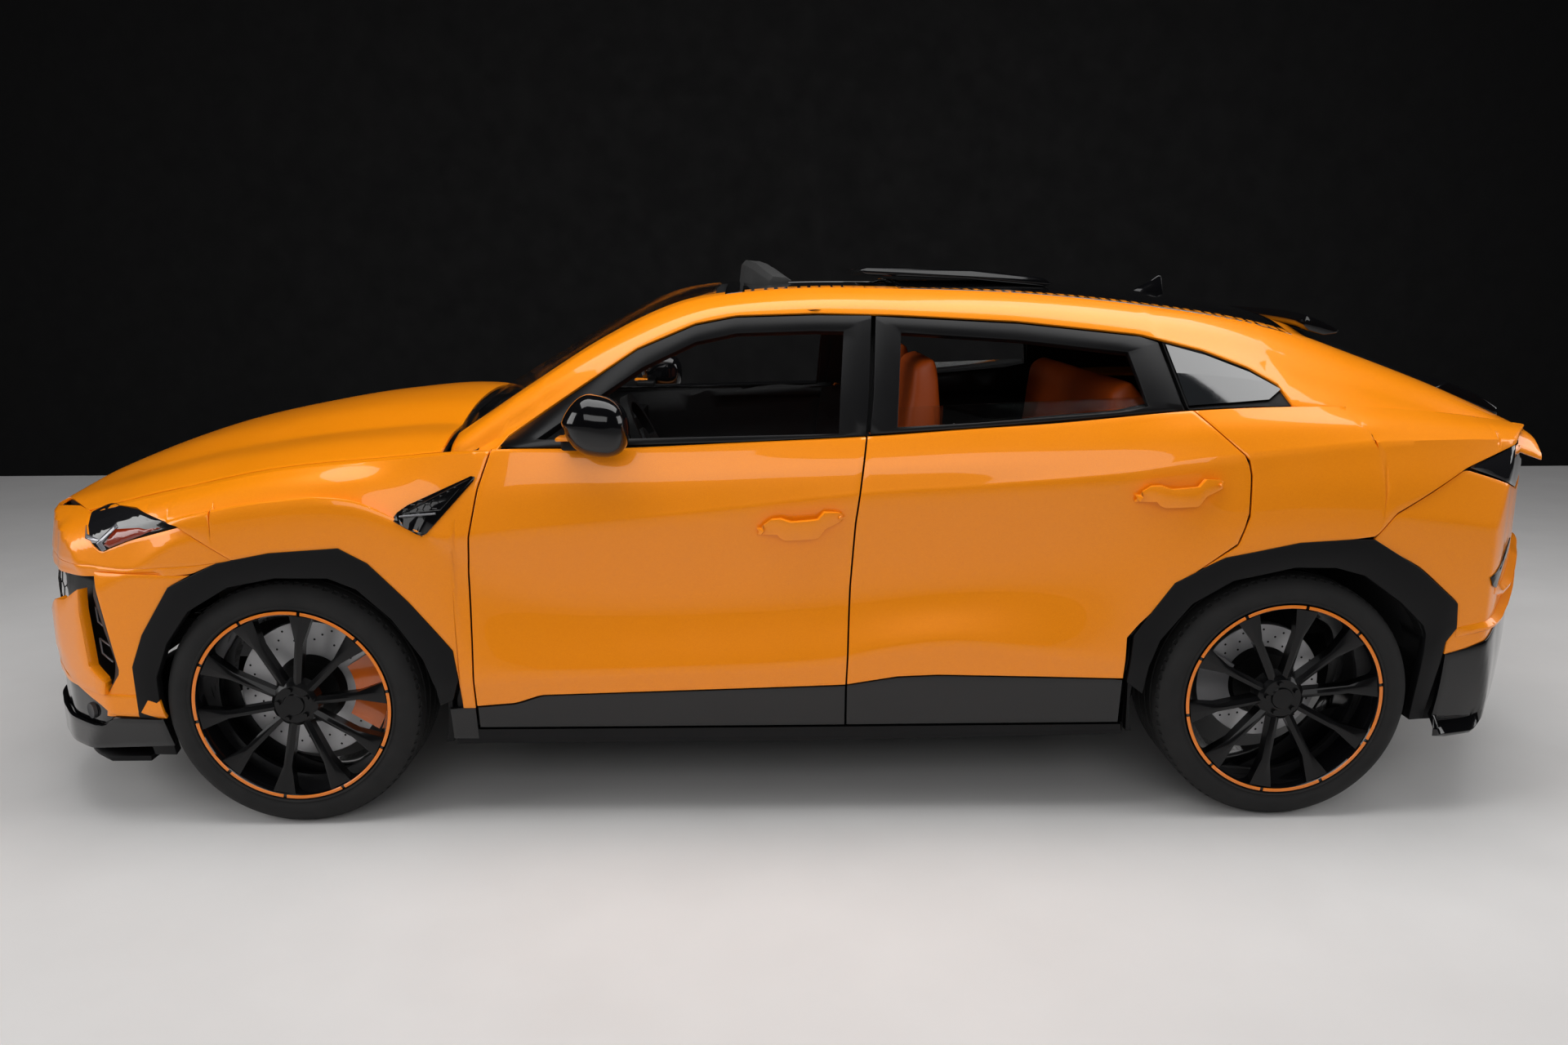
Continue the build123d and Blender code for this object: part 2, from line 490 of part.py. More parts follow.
with BuildPart() as windscreen:
    add(glass_band)
    add(plan_prism(grown(whole(SCREEN_PLAN), -SEAT), 900, 2000), mode=Mode.INTERSECT)
    add(side_prism(ABOVE_BELT), mode=Mode.INTERSECT)
    add(on_lower, mode=Mode.SUBTRACT)

with BuildPart() as quarter_glass:
    pane = side_prism(grown(QUARTER_WINDOW, -SEAT), -1200, -400)
    add(both_sides(combine(("+", glass_band), ("-", skin(CABIN_STATIONS, cabin_ring, 6, 6)), ("&", pane))))

# ---- Outer panels ----------------------------------------------------------------------------
BONNET_UNDER = [(-2700, 905), (-2440, 905), (-2204, 972), (-2068, 976), (-2000, 900)]
bonnet_way = combine(("+", plan_prism(grown(whole(BONNET_PLAN), 6))),
                     ("-", side_prism([(x, z - 8) for x, z in BONNET_UNDER] + [(-2000, 0), (-2700, 0)])))
lamp_way = combine(("+", side_prism(grown(LAMP, SEAT))), ("-", block(-2700, -1900, -420, 420, 0, 2000)))
front_arch_way = side_prism(grown(FRONT_ARCH, SEAT))
with BuildPart() as front_fenders:
    add(lower_shell)
    add(side_prism([(-1829, 300), (-1829, 796), (-1999, 900), (-2080, 960), (-2210, 960), (-2210, 1400),
                    (-985, 1400), (-985, 300)]), mode=Mode.INTERSECT)
    add(bonnet_way, mode=Mode.SUBTRACT)
    add(side_prism(grown(FRONT_DOOR, 8)), mode=Mode.SUBTRACT)
    add(front_arch_way, mode=Mode.SUBTRACT)
    add(lamp_way, mode=Mode.SUBTRACT)
    add(block(-2100, -900, -500, 500, 0, 2000), mode=Mode.SUBTRACT)
    add(block(-1106, -900, -1100, 1100, 1000, 1300) & side_prism(
        [(-1106, 1100), (-900, 1185), (-900, 1300), (-1106, 1300)]), mode=Mode.SUBTRACT)

with BuildPart() as front_bumper:
    nose = side_prism([(-2700, 200), (-1830, 200), (-1830, 795), (-2000, 899), (-2081, 961), (-2700, 961)])
    add(carve(combine(("+", lower_shell), ("&", nose)), [bonnet_way, front_arch_way, lamp_way]))
    for side in (-1, 1):
        y0, y1 = sorted((side * 560, side * 880))
        add(block(-2700, -2250, y0, y1, 330, 640), mode=Mode.SUBTRACT)
    add(block(-2700, -2350, -430, 430, 300, 640), mode=Mode.SUBTRACT)
    for side in (-1, 1):
        y0, y1 = sorted((side * 440, side * 540))
        add(block(-2535, -2440, y0, y1, 440, 500))

with BuildPart() as grilles:
    add(combine(("+", inner_body(SKIN - 12)), ("-", inner_body(SKIN))))
    add(combine(("+", block(-2700, -2350, -429.2, 429.2, 300.8, 639.2)),
                ("+", block(-2700, -2251, 560.8, 879.2, 330.8, 639.2)),
                ("+", block(-2700, -2251, -879.2, -560.8, 330.8, 639.2))), mode=Mode.INTERSECT)

with BuildPart() as front_splitter:
    add(plan_hull(14))
    add(block(-2700, -2040, -905, 905, 176, 200), mode=Mode.INTERSECT)

with BuildPart() as headlamps:
    add(thick_shell)
    add(side_prism(LAMP), mode=Mode.INTERSECT)
    add(block(-2700, -1900, -420.8, 420.8, 0, 2000), mode=Mode.SUBTRACT)
    add(bonnet_way, mode=Mode.SUBTRACT)

with BuildPart() as bonnet:
    add(lower)
    add(inner_body(35, 35), mode=Mode.SUBTRACT)
    add(plan_prism(whole(BONNET_PLAN), 700, 1500), mode=Mode.INTERSECT)
    add(side_prism([(-2514, 700), (-2514, 1600), (-1000, 1600), (-1000, 700)]), mode=Mode.INTERSECT)
    add(side_prism(BONNET_UNDER + [(-2000, 700), (-2700, 700)]), mode=Mode.SUBTRACT)

with BuildPart() as side_skirts:
    add(thick_shell)
    add(both_sides(side_prism(BOARD_LINE, -1200, -880)), mode=Mode.INTERSECT)

with BuildPart() as arch_trims:
    add(thick_shell)
    add(side_prism(FRONT_ARCH) + side_prism(REAR_ARCH), mode=Mode.INTERSECT)
    add(block(-2100, 1900, -600, 600, 0, 2000), mode=Mode.SUBTRACT)
    add(front_well, mode=Mode.SUBTRACT)
    add(rear_well, mode=Mode.SUBTRACT)
    add(side_prism(grown(BOARD_LINE, SEAT)), mode=Mode.SUBTRACT)

with BuildPart() as rear_bumper:
    add(lower_shell)
    add(side_prism(BUMPER_EDGE), mode=Mode.INTERSECT)
    add(side_prism(grown(TAIL_LAMP, SEAT)), mode=Mode.SUBTRACT)
    add(tailgate_way, mode=Mode.SUBTRACT)
    add(side_prism(grown(REAR_ARCH, SEAT)), mode=Mode.SUBTRACT)
    for y in (-660, -500, 420, 580):
        add(block(2300, 2600, y - SEAT, y + 80 + SEAT, 236 - SEAT, 324 + SEAT), mode=Mode.SUBTRACT)
    add(block(1800, 2300, -700, 700, 150, 345), mode=Mode.SUBTRACT)
    for y in (-420, 380):
        add(block(2425, 2480, y, y + 40, 740, 790))

with BuildPart() as tail_lamps:
    add(thick_shell)
    add(side_prism(TAIL_LAMP), mode=Mode.INTERSECT)
    add(tailgate_way, mode=Mode.SUBTRACT)
    add(block(2100, 2200, -778, 778, 1150, 1200), mode=Mode.SUBTRACT)

with BuildPart() as exhaust:
    for y in (-660, -500, 420, 580):
        add(block(2150, 2520, y, y + 80, 236, 324))
        add(block(2200, 2530, y + 8, y + 72, 244, 316), mode=Mode.SUBTRACT)
    add(block(1900, 2150, -680, 680, 225, 335))
    add(inner_body(-12), mode=Mode.INTERSECT)

# ---- Tailgate: rear window frame, deck and upper rear panel, with its spoilers ----------------
glass_way = [(1640, 0), (1640, 540), (2030, 585), (2150, 590), (2150, 0)]
with BuildPart() as tailgate:
    add(combine(("+", upper), ("-", skin(CABIN_STATIONS, cabin_ring, 45, 45))))
    add(side_prism([(1560, 1100), (1560, 1700), (2420, 1700), (2420, 1080), (2200, 1080)]),
        mode=Mode.INTERSECT)
    add(combine(("+", upper), ("&", block(2335, 2400, -640, 640, 1060, 1400))))
    add(combine(("+", thick_shell), ("&", block(2220, 2600, -640, 640, 790, 1300))))
    add(plan_prism(whole(TAILGATE_PLAN), 700, 2000), mode=Mode.INTERSECT)
    add(plan_prism(whole([(x, y + SEAT if y else 0) for x, y in glass_way]), 1100, 2000), mode=Mode.SUBTRACT)

with BuildPart() as tailgate_glass:
    add(glass_band)
    add(skin(CABIN_STATIONS, cabin_ring, 6, 6), mode=Mode.INTERSECT)
    add(plan_prism(whole([(1641, 0), (1641, 540), (2030, 585), (2149, 590), (2149, 0)]), 1100, 2000),
        mode=Mode.INTERSECT)

with BuildPart() as spoilers:
    add(side_prism([(1592, 1500), (1592, 1532), (1700, 1527), (1850, 1492), (1985, 1447), (1978, 1432),
                    (1860, 1400), (1660, 1460)], -560, 560))
    add(side_prism([(2150, 1180), (2149, 1290), (2296, 1254), (2446, 1158), (2446, 1132), (2396, 1125),
                    (2300, 1140)], -620, 620))
    add(on_body, mode=Mode.SUBTRACT)
    add(side_prism([(1500, 1300), (1500, 1440), (1840, 1380), (2000, 1300)]), mode=Mode.SUBTRACT)

# ---- Roof pieces: opened sunroof panel, wind deflector, aerial fin -----------------------------
with BuildPart() as sunroof_panel:
    add(side_prism([(205, 1664), (212, 1690), (560, 1676), (930, 1656), (930, 1632), (560, 1652)],
                   -412, 412))
    for y in (-396, 380):
        add(block(330, 900, y, y + 16, 1600, 1660))
    add(on_body, mode=Mode.SUBTRACT)
with BuildPart() as wind_deflector:
    add(side_prism([(-215, 1600), (-186, 1702), (-168, 1704), (-196, 1600)], -400, 400))
    add(on_body, mode=Mode.SUBTRACT)
with BuildPart() as aerial:
    add(side_prism([(1205, 1560), (1240, 1605), (1322, 1650), (1336, 1648), (1342, 1560)], -12, 12))
    add(on_body, mode=Mode.SUBTRACT)

# ---- Cabin ------------------------------------------------------------------------------------
WHEEL_HUB = (sx(-520), -sy(380), 1090)
RUNNING_GAP = 0.4
COLUMN = Plane(origin=WHEEL_HUB, z_dir=(0.906, 0, 0.423))
with BuildPart() as dashboard:
    add(block(-930, -640, -760, 760, 860, 1105))
    add(block(-930, 330, -130, 130, 330, 640))
    add(block(-900, -690, -130, 130, 600, 900))
    with BuildSketch(COLUMN.offset(-30 - RUNNING_GAP)):
        Circle(34)
    extrude(amount=-110)
with BuildPart() as steering_wheel:
    with BuildSketch(Plane(origin=WHEEL_HUB, x_dir=(0, 1, 0), z_dir=(0.906, 0, 0.423)).offset(-30)):
        Circle(62)
    extrude(amount=38)
    with BuildSketch(Plane(origin=WHEEL_HUB, x_dir=(0, 1, 0), z_dir=(0.906, 0, 0.423)).offset(-14)):
        Circle(184)
        Circle(154, mode=Mode.SUBTRACT)
        Rectangle(330, 44)
        with Locations((0, -80)):
            Rectangle(48, 160)
    extrude(amount=28)
SEAT_SIDE = [(-230, 330), (-260, 560), (-190, 620), (190, 590), (320, 1150), (350, 1390), (430, 1400),
             (450, 1200), (385, 560), (350, 330)]
BENCH_SIDE = [(660, 330), (640, 600), (690, 650), (880, 620), (955, 1050), (980, 1290), (1050, 1330),
              (1110, 1250), (1050, 640), (1040, 520), (1000, 520), (1000, 330)]
with BuildPart() as front_seats:
    add(both_sides(side_prism(SEAT_SIDE, -620, -170)))
with BuildPart() as rear_bench:
    add(side_prism(BENCH_SIDE, -620, 620))

# ---- Engine, subframes, steering and brakes ----------------------------------------------------
ax, fz = front_wheel
bx, rz = rear_wheel
f_out, r_out = FRONT_TRACK / 2, REAR_TRACK / 2


def solid_box(x0, x1, y0, y1, z0, z1):
    """A box in the built car's own millimetres."""
    with BuildPart() as box:
        with Locations(((x0 + x1) / 2, (y0 + y1) / 2, (z0 + z1) / 2)):
            Box(x1 - x0, y1 - y0, z1 - z0)
    return box.part


def tube(x, z, radius, y0, y1, hole=0):
    """A cylinder along Y, bored through when a hole radius is given."""
    with BuildPart() as drum:
        with BuildSketch(Plane.XZ.offset(-y0)):
            with Locations((x, z)):
                Circle(radius)
                if hole:
                    Circle(hole, mode=Mode.SUBTRACT)
        extrude(amount=-(y1 - y0))
    return drum.part


def caliper(x, z, side, disc_radius, disc_near, disc_far):
    """A caliper round the disc's edge; side is -1 ahead of the axle, 1 behind it."""
    reach = disc_radius + 25
    with BuildPart() as body:
        with BuildSketch(Plane.XZ.offset(disc_far + 20)):
            with BuildLine():
                a = [math.radians(d) for d in (-32, 32)]
                radii = (disc_radius - 75, reach)
                p = [(x + side * r * math.cos(t), z + r * math.sin(t)) for r in radii for t in a]
                m = [(x + side * r, z) for r in radii]
                ThreePointArc(p[0], m[0], p[1])
                Line(p[1], p[3])
                ThreePointArc(p[3], m[1], p[2])
                Line(p[2], p[0])
            make_face()
        extrude(amount=-(disc_far - disc_near + 40))
        add(tube(x, z, disc_radius + 6, -disc_far - 6, -disc_near + 6), mode=Mode.SUBTRACT)
    return body.part


with BuildPart() as engine:
    add(block(-2060, -1330, -330, 330, 330, 900))
    add(block(-1330, -1150, -200, 200, 330, 560))

with BuildPart() as front_subframe:
    add(solid_box(ax - 260, ax + 260, -440, 440, 225, 300))
    add(solid_box(ax - 300, ax - 240, -sy(460), sy(460), 225, 420))
    add(solid_box(ax + 240, ax + 300, -sy(460), sy(460), 225, 420))
    add(solid_box(ax - 120, ax + 120, -200, 200, 300, 330))
    for side in (-1, 1):
        y0, y1 = sorted((side * 480, side * (f_out - 103)))
        add(solid_box(ax - 62, ax + 62, y0, y1, fz - 170, fz - 140))
        add(solid_box(ax - 40, ax + 40, y0, y1, fz + 175, fz + 200))
        with BuildSketch(Plane.XY.offset(fz - 145)):
            with Locations((ax, side * 565)):
                Circle(42)
        extrude(amount=480)
        s0, s1 = sorted((side * 471, side * 500))
        add(solid_box(ax - 40, ax + 40, s0, s1, 225, fz + 200))
        add(solid_box(ax - 40, ax + 40, *sorted((side * 430, side * 500)), 225, 300))
    add(solid_box(ax - 320, ax + 320, -sy(345), sy(345), 330, 500), mode=Mode.SUBTRACT)


def knuckle(side):
    """A front hub carrier with its caliper; side is -1 left, 1 right."""
    with BuildPart() as carrier:
        y0, y1 = f_out - 150, f_out - 103
        add(solid_box(ax - 55, ax + 55, -y1, -y0, fz - 140, fz + 175))
        add(tube(ax, fz, 62, -(f_out - 88), -y1))
        add(solid_box(ax + 40, ax + 190, -(f_out - 94), -(f_out - 130), fz - 45, fz + 45))
        add(caliper(ax, fz, 1, 220, f_out - 60, f_out - 24))
        add(solid_box(ax + 150, ax + 190, -(f_out - 78), -(f_out - 130), fz - 45, fz + 45))
    return carrier.part if side < 0 else mirrored(carrier.part)


with BuildPart() as left_knuckle:
    add(knuckle(-1))
with BuildPart() as right_knuckle:
    add(knuckle(1))

with BuildPart() as rear_axle:
    add(solid_box(bx - 230, bx + 230, -540, 540, 300, 400))
    add(solid_box(bx - 230, bx - 170, -540, 540, 400, 480))
    add(solid_box(bx + 170, bx + 230, -540, 540, 400, 480))
    for side in (-1, 1):
        y0, y1 = sorted((side * 520, side * (r_out - 150)))
        add(solid_box(bx - 60, bx + 60, y0, y1, 300, 330))
        add(solid_box(bx - 60, bx + 60, *sorted((side * (r_out - 190), side * (r_out - 150))), 245, 520))
        add(tube(bx, rz, 62, *sorted((side * (r_out - 98), side * (r_out - 150)))))
        arm = combine(("+", solid_box(bx - 190, bx - 40, -(r_out - 104), -(r_out - 160), rz - 40, rz + 40)),
                      ("+", caliper(bx, rz, -1, 185, r_out - 52, r_out - 20)),
                      ("+", solid_box(bx - 170, bx - 135, -(r_out - 70), -(r_out - 120), rz - 40, rz + 40)))
        add(arm if side < 0 else mirrored(arm))


def wheel(axle_x, height, out, ring_y, hub_y, spindle_y, disc):
    """Left rim with hub, spokes and brake disc; out is the half-track."""
    with BuildPart() as rim:
        with BuildSketch(Plane.XY.offset(0)):
            with BuildLine():
                half = (ring_y - out)
                Polyline((out - half, RIM_RADIUS - 2), (out - half, RIM_RADIUS - 22),
                         (out - half + 30, RIM_RADIUS - 32), (out + half - 45, RIM_RADIUS - 32),
                         (ring_y, RIM_RADIUS - 16), (ring_y, RIM_RADIUS - 2), close=True)
            make_face()
        revolve(axis=Axis.X)
    barrel = rim.part.moved(Location((0, 0, 0), (0, 0, -90))).moved(Location((axle_x, 0, height)))
    with BuildPart() as spokes:
        for k in range(10):
            t = math.radians(36 * k + 28)
            c, s = math.cos(t), math.sin(t)
            with BuildSketch(Plane.XZ.offset(ring_y - 4)):
                pts = [(45, -13), (45, 13), (RIM_RADIUS - 24, 32), (RIM_RADIUS - 24, -32)]
                Polygon(*[(axle_x + r * c - w * s, height + r * s + w * c) for r, w in pts], align=None)
            extrude(amount=-(ring_y - 4 - hub_y + 28))
    with BuildPart() as whole_wheel:
        add(barrel)
        add(spokes.part)
        add(tube(axle_x, height, 72, -hub_y, -spindle_y))
        add(tube(axle_x, height, disc[0], -disc[2], -disc[1]))
    return whole_wheel.part


def tyre(axle_x, height, out, width, diameter):
    """Left tyre, rounded at its shoulders."""
    w, r = width / 2, diameter / 2
    with BuildPart() as rubber:
        with BuildSketch(Plane.XY):
            with BuildLine():
                Polyline((out - w + 12, RIM_RADIUS - 2), (out - w, RIM_RADIUS + 30), (out - w + 6, r - 26),
                         (out - w + 26, r - 4), (out - w + 60, r), (out + w - 60, r), (out + w - 26, r - 4),
                         (out + w - 6, r - 26), (out + w, RIM_RADIUS + 30), (out + w - 12, RIM_RADIUS - 2),
                         close=True)
            make_face()
        revolve(axis=Axis.X)
    return rubber.part.moved(Location((0, 0, 0), (0, 0, -90))).moved(Location((axle_x, 0, height)))


front_rim = wheel(ax, fz, f_out, 985, 915, f_out - 88, (220, f_out - 60, f_out - 24))
rear_rim = wheel(bx, rz, r_out, 998, 915, r_out - 98, (185, r_out - 52, r_out - 20))
front_tyre = tyre(ax, fz, f_out, FRONT_TYRE_WIDTH, FRONT_TYRE_DIAMETER)
rear_tyre = tyre(bx, rz, r_out, REAR_TYRE_WIDTH, REAR_TYRE_DIAMETER)
with BuildPart() as left_front_rim:
    add(front_rim)
with BuildPart() as right_front_rim:
    mirror(front_rim, about=Plane.XZ)
with BuildPart() as left_rear_rim:
    add(rear_rim)
with BuildPart() as right_rear_rim:
    mirror(rear_rim, about=Plane.XZ)
with BuildPart() as left_front_tyre:
    add(front_tyre)
with BuildPart() as right_front_tyre:
    mirror(front_tyre, about=Plane.XZ)
with BuildPart() as left_rear_tyre:
    add(rear_tyre)
with BuildPart() as right_rear_tyre:
    mirror(rear_tyre, about=Plane.XZ)

# ---- Named parts out --------------------------------------------------------------------------
NODES = {
    "bodyshell": bodyshell, "cabin_frame": cabin_frame, "roof_panel": roof_panel, "windscreen": windscreen,
    "quarter_glass": quarter_glass, "front_fenders": front_fenders, "front_bumper": front_bumper,
    "grilles": grilles, "front_splitter": front_splitter, "headlamps": headlamps, "bonnet": bonnet,
    "side_skirts": side_skirts, "arch_trims": arch_trims, "rear_bumper": rear_bumper,
    "tail_lamps": tail_lamps, "exhaust": exhaust, "tailgate": tailgate, "tailgate_glass": tailgate_glass,
    "spoilers": spoilers, "sunroof_panel": sunroof_panel, "wind_deflector": wind_deflector,
    "aerial": aerial, "dashboard": dashboard, "steering_wheel": steering_wheel,
    "front_seats": front_seats, "rear_bench": rear_bench, "engine": engine,
    "front_subframe": front_subframe, "rear_axle": rear_axle, "left_knuckle": left_knuckle,
    "right_knuckle": right_knuckle, "left_front_door": left_front_door,
    "right_front_door": right_front_door, "left_rear_door": left_rear_door,
    "right_rear_door": right_rear_door, "left_rear_glass": left_rear_glass,
    "right_rear_glass": right_rear_glass, "left_mirror": left_mirror, "right_mirror": right_mirror,
    "left_front_rim": left_front_rim, "right_front_rim": right_front_rim,
    "left_rear_rim": left_rear_rim, "right_rear_rim": right_rear_rim,
    "left_front_tyre": left_front_tyre, "right_front_tyre": right_front_tyre,
    "left_rear_tyre": left_rear_tyre, "right_rear_tyre": right_rear_tyre,
}
for name, node in NODES.items():
    node.part.label = name
    export_step(node.part, f"parts/{name}.step")
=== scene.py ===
"""Looks of a coupe-backed sport utility vehicle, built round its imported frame. Metres, +Z up, nose to -X."""

import math

import bmesh
import bpy
from mathutils import Matrix, Vector


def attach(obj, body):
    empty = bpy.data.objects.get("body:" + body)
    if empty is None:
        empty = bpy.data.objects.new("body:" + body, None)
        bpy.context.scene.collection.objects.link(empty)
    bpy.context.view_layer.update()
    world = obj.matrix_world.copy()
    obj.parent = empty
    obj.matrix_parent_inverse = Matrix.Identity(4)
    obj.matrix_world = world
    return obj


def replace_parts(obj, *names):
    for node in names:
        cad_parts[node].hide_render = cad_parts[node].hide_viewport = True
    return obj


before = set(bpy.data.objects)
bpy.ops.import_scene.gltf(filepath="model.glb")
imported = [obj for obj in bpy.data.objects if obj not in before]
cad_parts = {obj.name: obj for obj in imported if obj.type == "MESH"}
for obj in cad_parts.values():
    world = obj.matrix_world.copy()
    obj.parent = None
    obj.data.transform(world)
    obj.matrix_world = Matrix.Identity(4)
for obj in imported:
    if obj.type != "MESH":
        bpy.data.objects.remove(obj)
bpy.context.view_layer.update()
world_scene = bpy.context.scene

# ---- Studio: a pale floor, a black wall behind, one camera, soft lamps ------------------------
# The car stands on painted concrete. A large soft box hangs over it and weaker ones stand at
# its ends and behind the camera, so the flanks show one long highlight.
world_scene.view_settings.view_transform = "Standard"


def new_material(name, colour, roughness, metallic=0.0, coat=0.0):
    """A node material with its plain finish set on the shader itself."""
    mat = bpy.data.materials.new(name)
    mat.use_nodes = True
    shader = mat.node_tree.nodes["Principled BSDF"]
    shader.inputs["Base Color"].default_value = (*colour, 1)
    shader.inputs["Roughness"].default_value = roughness
    shader.inputs["Metallic"].default_value = metallic
    shader.inputs["Coat Weight"].default_value = coat
    shader.inputs["Coat Roughness"].default_value = 0.03
    if max(colour) < 0.01:
        shader.inputs["Specular IOR Level"].default_value = 0.2
    wear = mat.node_tree.nodes.new("ShaderNodeGroup")
    wear.node_tree = surface_wear
    wear.inputs["Roughness"].default_value = roughness
    mat.node_tree.links.new(wear.outputs["Roughness"], shader.inputs["Roughness"])
    mat.node_tree.links.new(wear.outputs["Normal"], shader.inputs["Normal"])
    return mat, mat.node_tree, shader


def node(tree, kind, **values):
    """Adds a node; values name its settings, or its inputs with spaces as underscores."""
    made = tree.nodes.new(kind)
    for key, value in values.items():
        if hasattr(made, key):
            setattr(made, key, value)
        else:
            made.inputs[key.replace("_", " ")].default_value = value
    return made


surface_wear = bpy.data.node_groups.new("surface_wear", "ShaderNodeTree")
surface_wear.interface.new_socket("Roughness", in_out="INPUT", socket_type="NodeSocketFloat")
surface_wear.interface.new_socket("Roughness", in_out="OUTPUT", socket_type="NodeSocketFloat")
surface_wear.interface.new_socket("Normal", in_out="OUTPUT", socket_type="NodeSocketVector")
inlet, outlet = node(surface_wear, "NodeGroupInput"), node(surface_wear, "NodeGroupOutput")
place = node(surface_wear, "ShaderNodeTexCoord")
cloud = node(surface_wear, "ShaderNodeTexNoise", Scale=6.0, Detail=5.0)
grain = node(surface_wear, "ShaderNodeTexNoise", Scale=420.0, Detail=2.0)
spread = node(surface_wear, "ShaderNodeMapRange", To_Min=0.80, To_Max=1.25)
scaled = node(surface_wear, "ShaderNodeMath", operation="MULTIPLY")
relief = node(surface_wear, "ShaderNodeBump", Strength=0.05, Distance=0.0006)
for source, target in ((place.outputs["Object"], cloud.inputs["Vector"]),
                       (place.outputs["Object"], grain.inputs["Vector"]),
                       (cloud.outputs["Fac"], spread.inputs["Value"]),
                       (spread.outputs["Result"], scaled.inputs[0]),
                       (inlet.outputs["Roughness"], scaled.inputs[1]),
                       (grain.outputs["Fac"], relief.inputs["Height"]),
                       (scaled.outputs["Value"], outlet.inputs["Roughness"]),
                       (relief.outputs["Normal"], outlet.inputs["Normal"])):
    surface_wear.links.new(source, target)


def mesh_piece(name, bm, material, body=None, smooth=40):
    """Turns a bmesh into an object; smooth is the angle in degrees above which an edge stays sharp."""
    data = bpy.data.meshes.new(name)
    bm.to_mesh(data)
    bm.free()
    piece = bpy.data.objects.new(name, data)
    bpy.context.collection.objects.link(piece)
    data.materials.append(material)
    if smooth:
        data.shade_smooth()
        data.set_sharp_from_angle(angle=math.radians(smooth))
    if body:
        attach(piece, body)
    return piece


STAGE_REACH = 14
WALL_PLACE = 5.6
CAMERA_PLACE = (-0.0984, -4.3085, 1.65)
floor_paint, tree, shader = new_material("floor_paint", (0.62, 0.61, 0.60), 0.5)
speckle = node(tree, "ShaderNodeTexNoise", Scale=2.2, Detail=6.0)
tint = node(tree, "ShaderNodeMix", data_type="RGBA")
tint.inputs[6].default_value = (0.58, 0.57, 0.56, 1)
tint.inputs[7].default_value = (0.66, 0.65, 0.64, 1)
place = node(tree, "ShaderNodeTexCoord")
tree.links.new(place.outputs["Object"], speckle.inputs["Vector"])
tree.links.new(speckle.outputs["Fac"], tint.inputs[0])
tree.links.new(tint.outputs[2], shader.inputs["Base Color"])

bm = bmesh.new()
bmesh.ops.create_grid(bm, x_segments=2, y_segments=2, size=STAGE_REACH)
floor = mesh_piece("floor", bm, floor_paint)
wall_paint, tree, shader = new_material("wall_paint", (0.0028, 0.0028, 0.003), 0.8)
bm = bmesh.new()
bmesh.ops.create_grid(bm, x_segments=2, y_segments=2, size=STAGE_REACH)
bmesh.ops.rotate(bm, verts=bm.verts, cent=(0, 0, 0), matrix=Matrix.Rotation(math.radians(90), 3, "X"))
bmesh.ops.translate(bm, verts=bm.verts, vec=(0, WALL_PLACE, 0))
mesh_piece("wall", bm, wall_paint)

camera_data = bpy.data.cameras.new("camera")
camera_data.lens, camera_data.sensor_width = 26.62, 36.0
camera = bpy.data.objects.new("camera", camera_data)
bpy.context.collection.objects.link(camera)
yaw, pitch, roll = 0.0095, 0.2094, -0.0051
ahead = Vector((math.sin(yaw) * math.cos(pitch), math.cos(yaw) * math.cos(pitch), -math.sin(pitch)))
level = Vector((math.cos(yaw), -math.sin(yaw), 0))
above = level.cross(ahead)
right = level * math.cos(roll) + above * math.sin(roll)
above = right.cross(ahead)
turn = Matrix((right, above, -ahead)).transposed().to_4x4()
camera.matrix_world = Matrix.Translation(CAMERA_PLACE) @ turn
world_scene.camera = camera

world_scene.world = bpy.data.worlds.new("studio")
world_scene.world.use_nodes = True
backdrop = world_scene.world.node_tree
sky = backdrop.nodes["Background"]
sky.inputs["Color"].default_value = (0.80, 0.80, 0.82, 1)
sky.inputs["Strength"].default_value = 0.5
dark_sky = node(backdrop, "ShaderNodeBackground", Color=(0.004, 0.004, 0.0045, 1), Strength=1.0)
ray = node(backdrop, "ShaderNodeLightPath")
seen = node(backdrop, "ShaderNodeMath", operation="MAXIMUM")
mirrored = node(backdrop, "ShaderNodeMath", operation="MAXIMUM")
choice = node(backdrop, "ShaderNodeMixShader")
backdrop.links.new(ray.outputs["Is Camera Ray"], seen.inputs[0])
backdrop.links.new(ray.outputs["Is Glossy Ray"], seen.inputs[1])
backdrop.links.new(seen.outputs["Value"], mirrored.inputs[0])
backdrop.links.new(ray.outputs["Is Transmission Ray"], mirrored.inputs[1])
backdrop.links.new(mirrored.outputs["Value"], choice.inputs[0])
backdrop.links.new(sky.outputs["Background"], choice.inputs[1])
backdrop.links.new(dark_sky.outputs["Background"], choice.inputs[2])
backdrop.links.new(choice.outputs["Shader"], backdrop.nodes["World Output"].inputs["Surface"])


def soft_box(name, place, aim, width, height, power):
    """A rectangular area lamp at place, facing aim."""
    lamp = bpy.data.lights.new(name, "AREA")
    lamp.shape, lamp.size, lamp.size_y, lamp.energy = "RECTANGLE", width, height, power
    holder = bpy.data.objects.new(name, lamp)
    bpy.context.collection.objects.link(holder)
    holder.location = place
    holder.rotation_euler = (Vector(aim) - Vector(place)).to_track_quat("-Z", "Y").to_euler()
    return holder


soft_box("overhead_box", (0.3, -0.8, 4.6), (0.1, 0.0, 0.0), 6.5, 2.6, 190)
soft_box("front_box", (-6.0, -2.0, 2.8), (-1.0, 0.0, 0.7), 3.0, 2.4, 80)
soft_box("rear_box", (6.0, -1.0, 2.8), (1.0, 0.0, 0.7), 3.0, 2.4, 70)
soft_box("side_box", (0.0, -6.5, 3.6), (0.0, 0.0, 0.5), 6.0, 2.0, 75)

